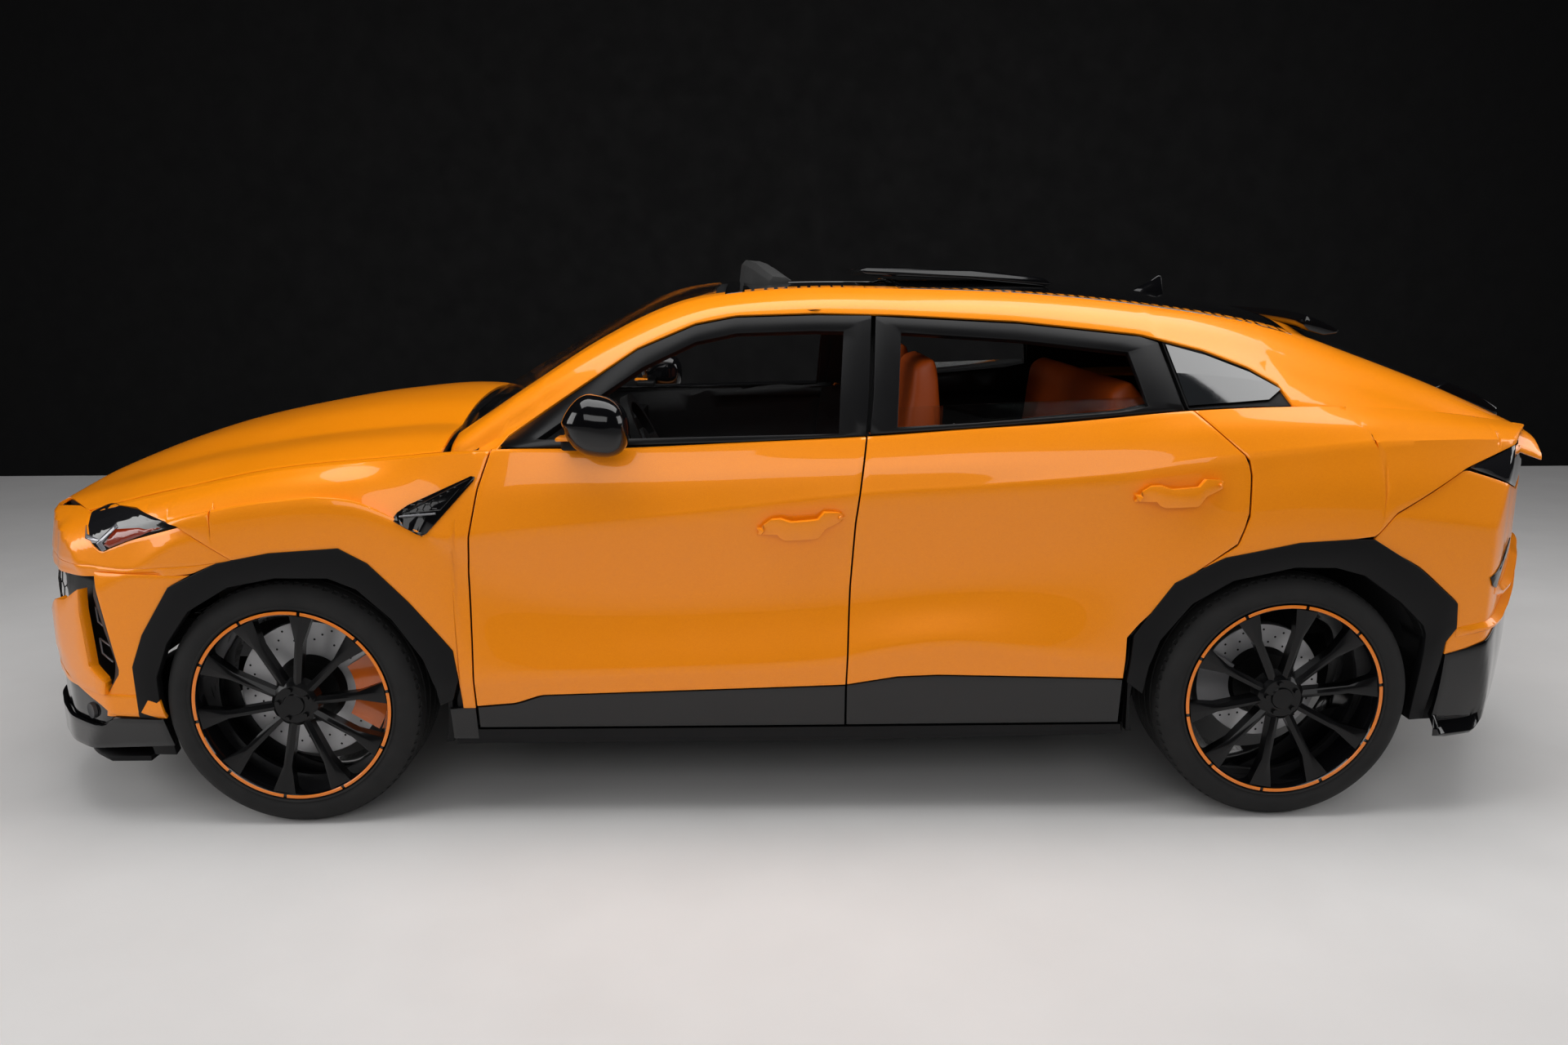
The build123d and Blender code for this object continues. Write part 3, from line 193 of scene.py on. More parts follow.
# ---- Door skins, fenders and rear quarters -----------------------------------------------------
# Pressed aluminium and steel panels, lacquered in orange pearl, hung with a narrow gap between
# them. One set of body lines shapes them all: a waist crease, a rocker crease and swollen arches.
orange_paint, tree, shader = new_material("orange_paint", (0.92, 0.27, 0.002), 0.34, 0.15, 0.7)
shader.inputs["Specular IOR Level"].default_value = 0.25
flake = node(tree, "ShaderNodeTexNoise", Scale=900.0, Detail=2.0)
spread = node(tree, "ShaderNodeMapRange", From_Min=0.35, From_Max=0.65)
pearl = node(tree, "ShaderNodeMix", data_type="RGBA")
pearl.inputs[6].default_value = (0.86, 0.225, 0.0015, 1)
pearl.inputs[7].default_value = (0.98, 0.305, 0.002, 1)
place = node(tree, "ShaderNodeTexCoord")
tree.links.new(place.outputs["Object"], flake.inputs["Vector"])
tree.links.new(flake.outputs["Fac"], spread.inputs["Value"])
tree.links.new(spread.outputs["Result"], pearl.inputs[0])
tree.links.new(pearl.outputs[2], shader.inputs["Base Color"])

SILL = [(-2700, 880, 215), (-2150, 900, 215), (-1556, 930, 250), (-1000, 945, 262), (0, 950, 262),
        (900, 950, 275), (1447, 950, 290), (2000, 930, 290), (2250, 890, 320), (2700, 850, 420)]
LOWER = [(-2700, 900, 350), (-2000, 972, 362), (-1556, 988, 420), (-1000, 985, 465), (-460, 985, 487),
         (50, 985, 509), (250, 985, 552), (450, 985, 572), (740, 985, 537), (990, 988, 512),
         (1447, 995, 500), (1900, 980, 520), (2250, 930, 560), (2700, 860, 600)]
FACET = [(-2700, 900, 640), (-2250, 940, 700), (-2000, 978, 800), (-1850, 1000, 895), (-1700, 1008, 935),
         (-1550, 1008, 958), (-1330, 1005, 968), (-1180, 985, 900), (-1000, 955, 760), (-600, 948, 700),
         (0, 948, 720), (600, 948, 760), (900, 965, 800), (1130, 992, 855), (1300, 1005, 915),
         (1470, 1008, 945), (1680, 1004, 955), (1900, 985, 930), (2250, 935, 880), (2700, 860, 850)]
WAIST = [(-2700, 860, 800), (-2250, 900, 860), (-2000, 950, 925), (-1850, 972, 970), (-1550, 980, 1020),
         (-1330, 975, 1010), (-1170, 972, 935), (-1060, 970, 897), (-980, 970, 905), (-690, 972, 933),
         (-330, 975, 967), (140, 975, 1018), (510, 975, 1040), (930, 980, 1078), (1170, 985, 1120),
         (1460, 980, 1148), (1700, 962, 1166), (2000, 915, 1165), (2250, 860, 1150), (2700, 760, 1120)]
SHOULDER = [(-2700, 700, 820), (-2400, 745, 890), (-2200, 800, 945), (-2055, 850, 985), (-1840, 885, 1035),
            (-1570, 900, 1090), (-1200, 905, 1125), (-1000, 915, 1143), (-850, 925, 1150), (-570, 930, 1151),
            (-210, 928, 1166), (180, 925, 1183), (510, 920, 1205), (750, 915, 1220), (1060, 905, 1247),
            (1230, 900, 1258), (1450, 885, 1262), (1700, 855, 1255), (2000, 800, 1225), (2250, 750, 1185),
            (2700, 680, 1120)]
BONNET = [(-2700, 460, 840), (-2530, 480, 895), (-2400, 500, 960), (-2200, 530, 1022), (-2050, 550, 1062),
          (-1820, 555, 1114), (-1550, 560, 1155), (-1350, 560, 1175), (-1150, 560, 1188), (-950, 560, 1165),
          (0, 560, 1150), (1500, 560, 1170), (2000, 560, 1160), (2250, 560, 1130), (2450, 520, 1085),
          (2700, 470, 1030)]
CENTRE = [(-2700, 850), (-2530, 925), (-2370, 1018), (-2060, 1130), (-1750, 1200), (-1440, 1248),
          (-1150, 1262), (-950, 1200), (0, 1165), (1500, 1180), (2000, 1175), (2250, 1145), (2450, 1100),
          (2700, 1045)]
GLASS_FOOT = [(-1400, 780, 860), (-1100, 835, 1060), (-980, 880, 1120), (-850, 903, 1155), (-210, 906, 1171),
              (510, 898, 1210), (1060, 885, 1252), (1300, 885, 1262), (1700, 858, 1240), (2000, 815, 1180),
              (2300, 780, 1070), (2500, 760, 960)]
FRAME_TOP = [(-1400, 790, 900), (-1100, 815, 1085), (-940, 790, 1165), (-710, 765, 1310), (-510, 735, 1438),
             (-330, 712, 1512), (-210, 704, 1534), (40, 700, 1544), (285, 700, 1538), (660, 702, 1517),
             (1030, 708, 1476), (1300, 722, 1425), (1500, 738, 1372), (1750, 758, 1300), (2030, 770, 1205),
             (2300, 770, 1100), (2500, 760, 1000)]
RAIL = [(-1400, 770, 940), (-1106, 762, 1135), (-863, 715, 1300), (-625, 665, 1452), (-390, 620, 1562),
        (-210, 605, 1597), (40, 600, 1613), (300, 600, 1608), (680, 600, 1592), (1070, 602, 1552),
        (1460, 612, 1484), (1750, 635, 1383), (2030, 660, 1275), (2300, 690, 1150), (2500, 700, 1050)]
ROOF = [(-1400, 1085), (-1250, 1168), (-1060, 1272), (-800, 1425), (-470, 1595), (-250, 1630), (100, 1638),
        (500, 1636), (900, 1620), (1300, 1580), (1600, 1520), (1900, 1408), (2200, 1280), (2500, 1130)]


def along(line, x):
    """Half-breadth and height of a body line at x: a cubic through its points."""
    x *= 1000
    xs = [p[0] for p in line]
    if x <= xs[0] or x >= xs[-1]:
        return [c / 1000 for c in (line[0] if x <= xs[0] else line[-1])[1:]]
    i = max(k for k in range(len(xs) - 1) if xs[k] <= x)
    h, out = xs[i + 1] - xs[i], []
    t = (x - xs[i]) / h
    for c in range(1, len(line[0])):
        slope = [(line[min(k + 1, len(xs) - 1)][c] - line[max(k - 1, 0)][c])
                 / (xs[min(k + 1, len(xs) - 1)] - xs[max(k - 1, 0)]) * h for k in (i, i + 1)]
        p, q = line[i][c], line[i + 1][c]
        out.append(((2 * t**3 - 3 * t**2 + 1) * p + (t**3 - 2 * t**2 + t) * slope[0]
                    + (3 * t**2 - 2 * t**3) * q + (t**3 - t**2) * slope[1]) / 1000)
    return out


ring_store = {}


def body_ring(x):
    """Cross-section below the windows, sill to centre line, as ten (y, z) points."""
    key = ("body", round(x, 5))
    if key not in ring_store:
        s, l, f, w, h, b = (along(line, x) for line in (SILL, LOWER, FACET, WAIST, SHOULDER, BONNET))
        top = along(CENTRE, x)[0]
        ring_store[key] = [s, l, f, w, ((w[0] + h[0]) / 2 + 0.006, (w[1] + h[1]) / 2 + 0.006), h,
                           ((h[0] + b[0]) / 2, (h[1] + b[1]) / 2 + 0.013), b,
                           (b[0] * 0.55, b[1] + (top - b[1]) * 0.72), (0, top)]
    return ring_store[key]


def cabin_ring(x):
    """Cross-section above the waist, glass foot to centre line, as eight (y, z) points."""
    key = ("cabin", round(x, 5))
    if key not in ring_store:
        g, f, r = (along(line, x) for line in (GLASS_FOOT, FRAME_TOP, RAIL))
        top = along(ROOF, x)[0]
        ring_store[key] = [g, ((g[0] + f[0]) / 2 + 0.005, (g[1] + f[1]) / 2), f,
                           ((f[0] + r[0]) / 2 + 0.006, (f[1] + r[1]) / 2 + 0.007), r,
                           (r[0] * 0.6, r[1] + (top - r[1]) * 0.7), (0, top)]
    return ring_store[key]


NOSE_PLAN = [(-1.700, 1.060), (-2.060, 0.985), (-2.270, 0.860), (-2.365, 0.755), (-2.425, 0.670),
             (-2.495, 0.540), (-2.545, 0.300), (-2.554, 0.0)]
TAIL_PLAN = [(1.850, 1.060), (2.050, 0.965), (2.155, 0.850), (2.232, 0.750), (2.305, 0.645), (2.390, 0.510),
             (2.505, 0.300), (2.554, 0.0)]
NOSE_PROFILE = [(-2.480, 0.195), (-2.540, 0.280), (-2.556, 0.420), (-2.552, 0.600), (-2.528, 0.700),
                (-2.545, 0.790), (-2.550, 0.860), (-2.530, 0.930), (-2.480, 0.980)]
TAIL_PROFILE = [(2.330, 0.320), (2.500, 0.340), (2.556, 0.480), (2.545, 0.610), (2.500, 0.740),
                (2.475, 0.870), (2.440, 0.970), (2.400, 1.040), (2.395, 1.150)]


CORNER_CUTS = 6


def rounded(points):
    """The same run of points, resampled along a smooth curve through them."""
    ring = [points[0]] + points + [points[-1]]
    out = []
    for a, b, c, d in zip(ring, ring[1:], ring[2:], ring[3:]):
        for k in range(CORNER_CUTS):
            t = k / CORNER_CUTS
            out.append(tuple(0.5 * (2 * q + (r - p) * t + (2 * p - 5 * q + 4 * r - s) * t * t
                                    + (3 * q - p - 3 * r + s) * t**3) for p, q, r, s in zip(a, b, c, d)))
    return out + [points[-1]]


def read_line(points, value, key=1):
    """The other coordinate of a run of points where the key coordinate has this value."""
    points = sorted(points, key=lambda p: p[key])
    if value <= points[0][key]:
        return points[0][1 - key]
    for a, b in zip(points, points[1:]):
        if value <= b[key]:
            share = (value - a[key]) / max(b[key] - a[key], 1e-9)
            return a[1 - key] + share * (b[1 - key] - a[1 - key])
    return points[-1][1 - key]


NOSE_PLAN, TAIL_PLAN = rounded(NOSE_PLAN), rounded(TAIL_PLAN)


def plan_limit(x, z):
    """Half-breadth of the nose's or tail's rounded plan at x and height z."""
    if x < 0:
        return read_line(NOSE_PLAN, x - 0.2 * max(0.0, z - 0.70), 0)
    return read_line(TAIL_PLAN, x, 0)


CREASES = {"body": (1, 3, 5, 7), "cabin": (4,)}
RINGS = {"body": body_ring, "cabin": cabin_ring}


def skin_point(kind, x, step):
    """Point on the body's or cabin's skin at station x; step counts along the cross-section's points."""
    ring = RINGS[kind](x)
    last = len(ring) - 1
    step = min(max(step, 0.0), last)
    i = min(int(step), last - 1)
    t = step - i

    def lean(k, end):
        """Slope of the section at point k, broken where a crease runs."""
        a, b = max(k - 1, 0), min(k + 1, last)
        if k in CREASES[kind]:
            a, b = (k, k + 1) if end == 0 else (k - 1, k)
        if k == last:
            return ring[k][0] - ring[k - 1][0], 0.0
        return ((ring[b][0] - ring[a][0]) / max(b - a, 1), (ring[b][1] - ring[a][1]) / max(b - a, 1))

    m, n = lean(i, 0), lean(i + 1, 1)
    y, z = ((2 * t**3 - 3 * t**2 + 1) * ring[i][c] + (t**3 - 2 * t**2 + t) * m[c]
            + (3 * t**2 - 2 * t**3) * ring[i + 1][c] + (t**3 - t**2) * n[c] for c in (0, 1))
    if kind == "body" and not -1.9 < x < 1.9:
        y = min(y, plan_limit(x, z))
    return Vector((x, -y, z))


def step_at(kind, x, z, top=None):
    """Where along the cross-section at x the skin has height z."""
    low, high = 0.0, top or (5.0 if kind == "body" else 5.9)
    for _ in range(22):
        middle = (low + high) / 2
        low, high = (middle, high) if skin_point(kind, x, middle).z < z else (low, middle)
    return (low + high) / 2


def skin_patch(kind, left, right, low, high, columns, rows):
    """A sheet of the skin: left and right are (x, z) lines, low and high are (x, z) lines or fixed steps."""
    bm = bmesh.new()
    bmesh.ops.create_grid(bm, x_segments=columns, y_segments=rows, size=1)
    span = 9 if kind == "body" else 6
    left, right = ([(line, 0.0)] if isinstance(line, float) else line for line in (left, right))
    ends = {}
    for v in bm.verts:
        t, r = (v.co.x + 1) / 2, (v.co.y + 1) / 2
        column = round(t * columns)
        if column not in ends:
            pair = []
            for edge in (low, high):
                if isinstance(edge, list):
                    z = (min(p[1] for p in edge) + max(p[1] for p in edge)) / 2
                    for _ in range(5):
                        x = read_line(left, z) * (1 - t) + read_line(right, z) * t
                        z = read_line(edge, x, 0)
                    pair.append(step_at(kind, x, z))
                else:
                    pair.append(edge)
            ends[column] = pair
        a, b = ends[column]
        step = row_step(a, b, r)
        x = read_line(left, 0.8) * (1 - t) + read_line(right, 0.8) * t
        for _ in range(3):
            z = skin_point(kind, x, step).z
            x = read_line(left, z) * (1 - t) + read_line(right, z) * t
        v.co = skin_point(kind, x, min(step, span))
    bmesh.ops.remove_doubles(bm, verts=bm.verts, dist=0.0008)
    return bm


def row_step(a, b, r):
    """Row steps between a and b that keep a row on every body line they cross."""
    marks = [a] + [float(k) for k in range(1, 9) if a + 0.12 < k < b - 0.12] + [b]
    place = r * (len(marks) - 1)
    i = min(int(place), len(marks) - 2)
    return marks[i] + (place - i) * (marks[i + 1] - marks[i])


PROUD = 0.002  # how far a visible panel stands off the body lines


def closed_shell(name, bm, material, body, thickness, bevel=0.0022, mirror=True, smooth=32):
    """Finishes a sheet as a panel: a mirrored twin when it spans the car, a wall inwards, soft edges."""
    if mirror:
        geom = bm.verts[:] + bm.edges[:] + bm.faces[:]
        twin = bmesh.ops.duplicate(bm, geom=geom)["geom"]
        verts = [g for g in twin if isinstance(g, bmesh.types.BMVert)]
        bmesh.ops.scale(bm, vec=(1, -1, 1), verts=verts)
        bmesh.ops.remove_doubles(bm, verts=bm.verts, dist=0.0004)
    face_outwards(bm)
    rows = {v: v.normal.copy() for v in bm.verts}
    for v, normal in rows.items():
        lean = normal * PROUD
        v.co += Vector((lean.x, 0 if abs(v.co.y) < 0.001 else lean.y, lean.z))
    piece = mesh_piece(name, bm, material, None, smooth)
    wall = piece.modifiers.new("wall", "SOLIDIFY")
    wall.thickness, wall.offset, wall.use_even_offset = thickness, -1, False
    if bevel:
        edge = piece.modifiers.new("edge", "BEVEL")
        edge.width, edge.segments, edge.limit_method = bevel, 2, "ANGLE"
        edge.angle_limit = math.radians(60)
    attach(piece, body)
    return piece


HEART_HEIGHT = 0.6


def face_outwards(bm):
    """Turns each sheet's faces so that they look away from the car's middle."""
    bmesh.ops.recalc_face_normals(bm, faces=bm.faces)
    seen = set()
    for start in bm.faces:
        if start in seen:
            continue
        island, queue = [], [start]
        seen.add(start)
        while queue:
            face = queue.pop()
            island.append(face)
            for edge in face.edges:
                for other in edge.link_faces:
                    if other not in seen:
                        seen.add(other)
                        queue.append(other)
        lean = 0.0
        for face in island:
            middle = face.calc_center_median()
            heart = Vector((middle.x * 0.7, 0, HEART_HEIGHT))
            lean += face.normal.dot(middle - heart) * face.calc_area()
        if lean < 0:
            bmesh.ops.reverse_faces(bm, faces=island)


def handed(name, make, material, body, thickness, **options):
    """A left piece and its mirror image on the right, each riding on its own body."""
    out = []
    for side, sign in (("left", 1), ("right", -1)):
        bm = make()
        if sign < 0:
            bmesh.ops.scale(bm, vec=(1, -1, 1), verts=bm.verts)
        out.append(closed_shell(f"{side}_{name}", bm, material, body.replace("left", side), thickness,
                                mirror=False, **options))
    return out


DOOR_FRONT_EDGE = [(-1.001, 0.36), (-1.001, 0.56), (-1.003, 0.794), (-0.993, 0.906), (-0.965, 1.041),
                   (-0.922, 1.166), (-0.905, 1.28)]
DOOR_REAR_EDGE = [(0.116, 0.30), (0.116, 0.425), (0.120, 0.530), (0.128, 0.735), (0.142, 0.935),
                  (0.162, 1.082), (0.177, 1.190), (0.225, 1.28)]
REAR_DOOR_EDGE = [(0.958, 0.30), (0.958, 0.45), (0.962, 0.59), (1.060, 0.69), (1.160, 0.795), (1.262, 0.862),
                  (1.292, 0.951), (1.294, 1.074), (1.284, 1.123), (1.142, 1.256)]
ORANGE_FOOT = [(-1.078, 0.371), (-0.881, 0.387), (-0.806, 0.413), (0.115, 0.438), (0.275, 0.463),
               (0.398, 0.467), (0.99, 0.451)]
DOOR_GAP = 0.0055
BELT = 5.13


def shifted(line, by):
    """The same run of (x, z) points moved along the car."""
    return [(x + by, z) for x, z in line]


def front_door_skin():
    """Front door panel, from the fender gap to the centre pillar gap."""
    return skin_patch("body", DOOR_FRONT_EDGE, DOOR_REAR_EDGE, ORANGE_FOOT, BELT, 60, 44)


def rear_door_skin():
    """Rear door panel, from the centre pillar gap to the quarter gap."""
    return skin_patch("body", shifted(DOOR_REAR_EDGE, DOOR_GAP), REAR_DOOR_EDGE, ORANGE_FOOT, BELT, 60, 44)


for piece in handed("front_door_skin", front_door_skin, orange_paint, "left_front_door", 0.012):
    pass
for piece in handed("rear_door_skin", rear_door_skin, orange_paint, "left_rear_door", 0.012):
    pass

ARCH_TOP_FRONT = [(-1.570, 0.868), (-1.367, 0.881), (-1.288, 0.834), (-1.178, 0.709), (-1.060, 0.556),
                  (-1.049, 0.466), (-1.046, 0.371)]
ARCH_TOP_REAR = [(0.970, 0.371), (0.972, 0.44), (0.976, 0.518), (0.982, 0.590), (1.093, 0.753),
                 (1.233, 0.832), (1.447, 0.877), (1.603, 0.886), (1.718, 0.823), (1.867, 0.684),
                 (1.879, 0.621)]
FENDER_NOSE_EDGE = [(-2.200, 0.958), (-2.14, 0.980), (-2.000, 0.983), (-1.830, 0.9475), (-1.680, 0.8475)]
fender = skin_patch("body", [(-2.195, 0.9)], shifted(DOOR_FRONT_EDGE, -DOOR_GAP),
                    FENDER_NOSE_EDGE + ARCH_TOP_FRONT + [(-0.99, 0.371)], BELT, 130, 40)
closed_shell("fender_skins", fender, orange_paint, "body", 0.010)

LAMP_TOP = [(1.672, 0.895), (1.727, 0.962), (1.946, 1.083), (1.962, 1.090), (2.115, 1.145), (2.190, 1.178),
            (2.30, 1.200)]
quarter = skin_patch("body", shifted(REAR_DOOR_EDGE, DOOR_GAP), [(2.225, 1.0)],
                     ARCH_TOP_REAR[1:8] + LAMP_TOP, 6.0, 90, 44)
closed_shell("quarter_skins", quarter, orange_paint, "body", 0.010)

# ---- Pillars and cant rails -----------------------------------------------------------------------
# One pressed side frame per flank, painted orange: the windscreen pillar, the rail above the
# doors and the broad rear pillar that runs down beside the tailgate.
RAIL_FOOT = [(-1.10, 1.060), (-0.98, 1.115), (-0.925, 1.135), (-0.900, 1.180), (-0.712, 1.305),
             (-0.508, 1.438), (-0.333, 1.510), (-0.209, 1.533), (0.037, 1.539), (0.285, 1.532),
             (0.657, 1.511), (1.032, 1.470), (1.225, 1.420), (1.351, 1.370), (1.434, 1.318), (1.446, 1.262),
             (1.70, 1.240), (2.0, 1.180), (2.30, 1.075)]
rail = skin_patch("cabin", [(-1.08, 1.0)], [(2.28, 1.0)], RAIL_FOOT, 4.25, 130, 12)
closed_shell("cant_rail_skins", rail, orange_paint, "body", 0.010)

# ---- Bonnet --------------------------------------------------------------------------------------
# A broad aluminium lid, hinged at the screen, pressed with a raised middle between two long creases.
# It is cut round the lamps and lies flush with the fenders.
BONNET_SIDE = [(-2.44, 0.500), (-2.33, 0.640), (-2.215, 0.770), (-2.06, 0.826), (-1.84, 0.861),
               (-1.57, 0.875), (-1.20, 0.880), (-1.08, 0.882)]
BONNET_FRONT = [(-2.514, 0.0), (-2.508, 0.20), (-2.475, 0.40), (-2.44, 0.50)]


def plan_patch(kind, front, rear, inner, outer, columns, rows, bunch=0):
    """A sheet of the upper skin between two cross lines and two lengthwise lines of (x, y) points."""
    bm = bmesh.new()
    bmesh.ops.create_grid(bm, x_segments=columns, y_segments=rows, size=1)
    first, last = (5.0, 9.0) if kind == "body" else (0.0, 6.0)
    for v in bm.verts:
        t, r = (v.co.x + 1) / 2, (v.co.y + 1) / 2
        t = t * t if bunch else t
        x, y = (read_line(front, 0) + read_line(rear, 0)) / 2, 0.3
        for _ in range(6):
            x = read_line(front, y) * (1 - t) + read_line(rear, y) * t
            y = read_line(inner, x, 0) * (1 - r) + read_line(outer, x, 0) * r
        low, high = first, last
        for _ in range(22):
            middle = (low + high) / 2
            low, high = (middle, high) if -skin_point(kind, x, middle).y > y else (low, middle)
        v.co = Vector((x, -y, skin_point(kind, x, low).z))
    bmesh.ops.remove_doubles(bm, verts=bm.verts, dist=0.0006)
    return bm


bonnet_lid = plan_patch("body", BONNET_FRONT, [(-1.112, 0.0), (-1.105, 0.5), (-1.085, 0.884)],
                        [(-2.6, 0.0), (-1.0, 0.0)], BONNET_SIDE, 80, 44, bunch=1)
piece = closed_shell("bonnet_skin", bonnet_lid, orange_paint, "bonnet", 0.010)

# ---- Black wheel-arch trims and sill blades ----------------------------------------------------
# Moulded black plastic lips bolted round the arches in flat facets, and gloss blades along the
# sills, split at the door gap because each door carries its own length of blade.
matte_black, tree, shader = new_material("matte_black_plastic", (0.0045, 0.0045, 0.005), 0.5)
gloss_black, tree, shader = new_material("gloss_black_paint", (0.003, 0.003, 0.0035), 0.10, 0.0, 0.6)


def band_patch(kind, outer, inner, columns, rows, lift=0.0):
    """A sheet of the skin between two matched runs of (x, z) points, lifted outwards."""
    bm = bmesh.new()
    bmesh.ops.create_grid(bm, x_segments=columns, y_segments=rows, size=1)

    def walk(line, share):
        """Point at a share of a run's length."""
        spans = [math.dist(a, b) for a, b in zip(line, line[1:])]
        left = share * sum(spans)
        for (a, b), span in zip(zip(line, line[1:]), spans):
            if left <= span or b is line[-1]:
                k = min(left / max(span, 1e-9), 1)
                return a[0] + (b[0] - a[0]) * k, a[1] + (b[1] - a[1]) * k
            left -= span
        return line[-1]

    count = len(outer) - 1
    for v in bm.verts:
        t, r = (v.co.x + 1) / 2, (v.co.y + 1) / 2
        if len(outer) == len(inner):
            i = min(int(t * count), count - 1)
            k = t * count - i
            a, b = ((line[i][0] + (line[i + 1][0] - line[i][0]) * k,
                     line[i][1] + (line[i + 1][1] - line[i][1]) * k) for line in (outer, inner))
        else:
            a, b = walk(outer, t), walk(inner, t)
        x, z = a[0] + (b[0] - a[0]) * r, a[1] + (b[1] - a[1]) * r
        v.co = skin_point(kind, x, step_at(kind, x, z))
        v.co.z = z
        v.co.y -= lift
    return bm


def polar_pair(outer, inner, count):
    """Two closed outlines re-cut at the same directions from their shared middle, so they match."""
    cx = sum(p[0] for p in inner) / len(inner)
    cz = sum(p[1] for p in inner) / len(inner)
    angles = sorted({round(math.atan2(z - cz, x - cx), 4) for x, z in outer + inner}
                    | {round(-math.pi + 2 * math.pi * k / count, 4) for k in range(count)})

    def cut(line, angle):
        """Where a ray from the middle leaves the outline."""
        dx, dz = math.cos(angle), math.sin(angle)
        far = 0.0
        for a, b in zip(line, line[1:] + line[:1]):
            ex, ez = b[0] - a[0], b[1] - a[1]
            across = dx * ez - dz * ex
            if abs(across) < 1e-12:
                continue
            s = ((a[0] - cx) * ez - (a[1] - cz) * ex) / across
            u = ((a[0] - cx) * dz - (a[1] - cz) * dx) / across
            if s > 0 and -1e-6 <= u <= 1 + 1e-6:
                far = max(far, s)
        return cx + dx * far, cz + dz * far

    rims = [[cut(line, angle) for angle in angles] for line in (outer, inner)]
    return [rim + rim[:1] for rim in rims]


ARCHES = {
    "front": (
        [(-2.024, 0.205), (-2.024, 0.513), (-1.980, 0.615), (-1.879, 0.764), (-1.728, 0.837),
         (-1.570, 0.868), (-1.367, 0.881), (-1.288, 0.834), (-1.178, 0.709), (-1.060, 0.556),
         (-1.049, 0.466), (-1.070, 0.40)],
        [(-1.955, 0.205), (-1.952, 0.480), (-1.905, 0.590), (-1.828, 0.690), (-1.700, 0.765),
         (-1.560, 0.792), (-1.405, 0.790), (-1.325, 0.755), (-1.232, 0.660), (-1.148, 0.530),
         (-1.118, 0.440), (-1.112, 0.38)],
    ),
    "rear": (
        [(0.970, 0.44), (0.976, 0.518), (0.982, 0.590), (1.093, 0.753), (1.233, 0.832),
         (1.447, 0.877), (1.603, 0.886), (1.669, 0.884), (1.817, 0.793), (1.951, 0.680),
         (1.958, 0.602), (1.928, 0.560), (1.905, 0.30)],
        [(1.022, 0.40), (1.032, 0.495), (1.060, 0.575), (1.148, 0.690), (1.262, 0.762),
         (1.440, 0.802), (1.560, 0.800), (1.650, 0.775), (1.770, 0.690), (1.850, 0.615),
         (1.862, 0.585), (1.862, 0.530), (1.862, 0.30)],
    ),
}
for place, (outer, inner) in ARCHES.items():
    lip = band_patch("body", outer, inner, 4 * (len(outer) - 1), 2, lift=0.004)
    closed_shell(f"{place}_arch_lips", lip, matte_black, "body", 0.03, smooth=12)

closed_shell("sill_fronts", skin_patch(
    "body", [(-1.085, 0.3)], [(-1.007, 0.3)], [(-1.1, 0.262), (-1.0, 0.262)], [(-1.1, 0.368), (-1.0, 0.372)],
    6, 6), gloss_black, "body", 0.02)
DOOR_FOOT = [(-1.0, 0.302), (1.0, 0.302)]
BLADE_TOP = [(x, z - 0.004) for x, z in ORANGE_FOOT]
for piece in handed("front_blade", lambda: skin_patch("body", [(-1.0, 0.3)], DOOR_REAR_EDGE, DOOR_FOOT,
                                                      BLADE_TOP, 40, 8), gloss_black, "left_front_door",
                    0.014):
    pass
for piece in handed("rear_blade", lambda: skin_patch(
        "body", shifted(DOOR_REAR_EDGE, DOOR_GAP), REAR_DOOR_EDGE, DOOR_FOOT, BLADE_TOP, 40, 8), gloss_black,
        "left_rear_door", 0.014):
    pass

# ---- Door window frames -----------------------------------------------------------------------
# Satin black aluminium surrounds, part of each door, with a gloss capping on the centre pillars.
frame_black, tree, shader = new_material("satin_black_frame", (0.005, 0.005, 0.0055), 0.30, 0.2)
FRONT_FRAME = [(-0.912, 1.158), (-0.893, 1.178), (-0.712, 1.296), (-0.508, 1.430), (-0.333, 1.502),
               (-0.209, 1.525), (0.037, 1.531), (0.206, 1.529), (0.189, 1.300), (0.177, 1.186),
               (-0.21, 1.171), (-0.85, 1.157)]
FRONT_PANE = [(-0.80, 1.178), (-0.69, 1.252), (-0.49, 1.382), (-0.33, 1.455), (-0.205, 1.480), (0.03, 1.486),
              (0.12, 1.484), (0.105, 1.30), (0.098, 1.192), (-0.21, 1.187), (-0.60, 1.180)]
REAR_FRAME = [(0.190, 1.190), (0.204, 1.300), (0.219, 1.528), (0.285, 1.524), (0.657, 1.503), (1.032, 1.462),
              (1.085, 1.445), (1.120, 1.270), (1.125, 1.254), (0.92, 1.238), (0.51, 1.208)]
REAR_PANE = [(0.272, 1.210), (0.280, 1.300), (0.295, 1.480), (0.655, 1.456), (0.985, 1.418), (1.020, 1.265),
             (0.92, 1.250), (0.51, 1.222)]


def ring_band(rims):
    """The skin between two matched closed outlines."""
    bm = bmesh.new()
    bmesh.ops.create_grid(bm, x_segments=len(rims[0]) - 1, y_segments=2, size=1)
    count = len(rims[0]) - 1
    for v in bm.verts:
        k, r = round((v.co.x + 1) / 2 * count), (v.co.y + 1) / 2
        (ax, az), (bx, bz) = rims[0][k], rims[1][k]
        x, z = ax + (bx - ax) * r, az + (bz - az) * r
        v.co = skin_point("cabin", x, step_at("cabin", x, z, 4.0))
        v.co.z = z
        v.co.y -= 0.001
    bmesh.ops.remove_doubles(bm, verts=bm.verts, dist=0.0006)
    return bm


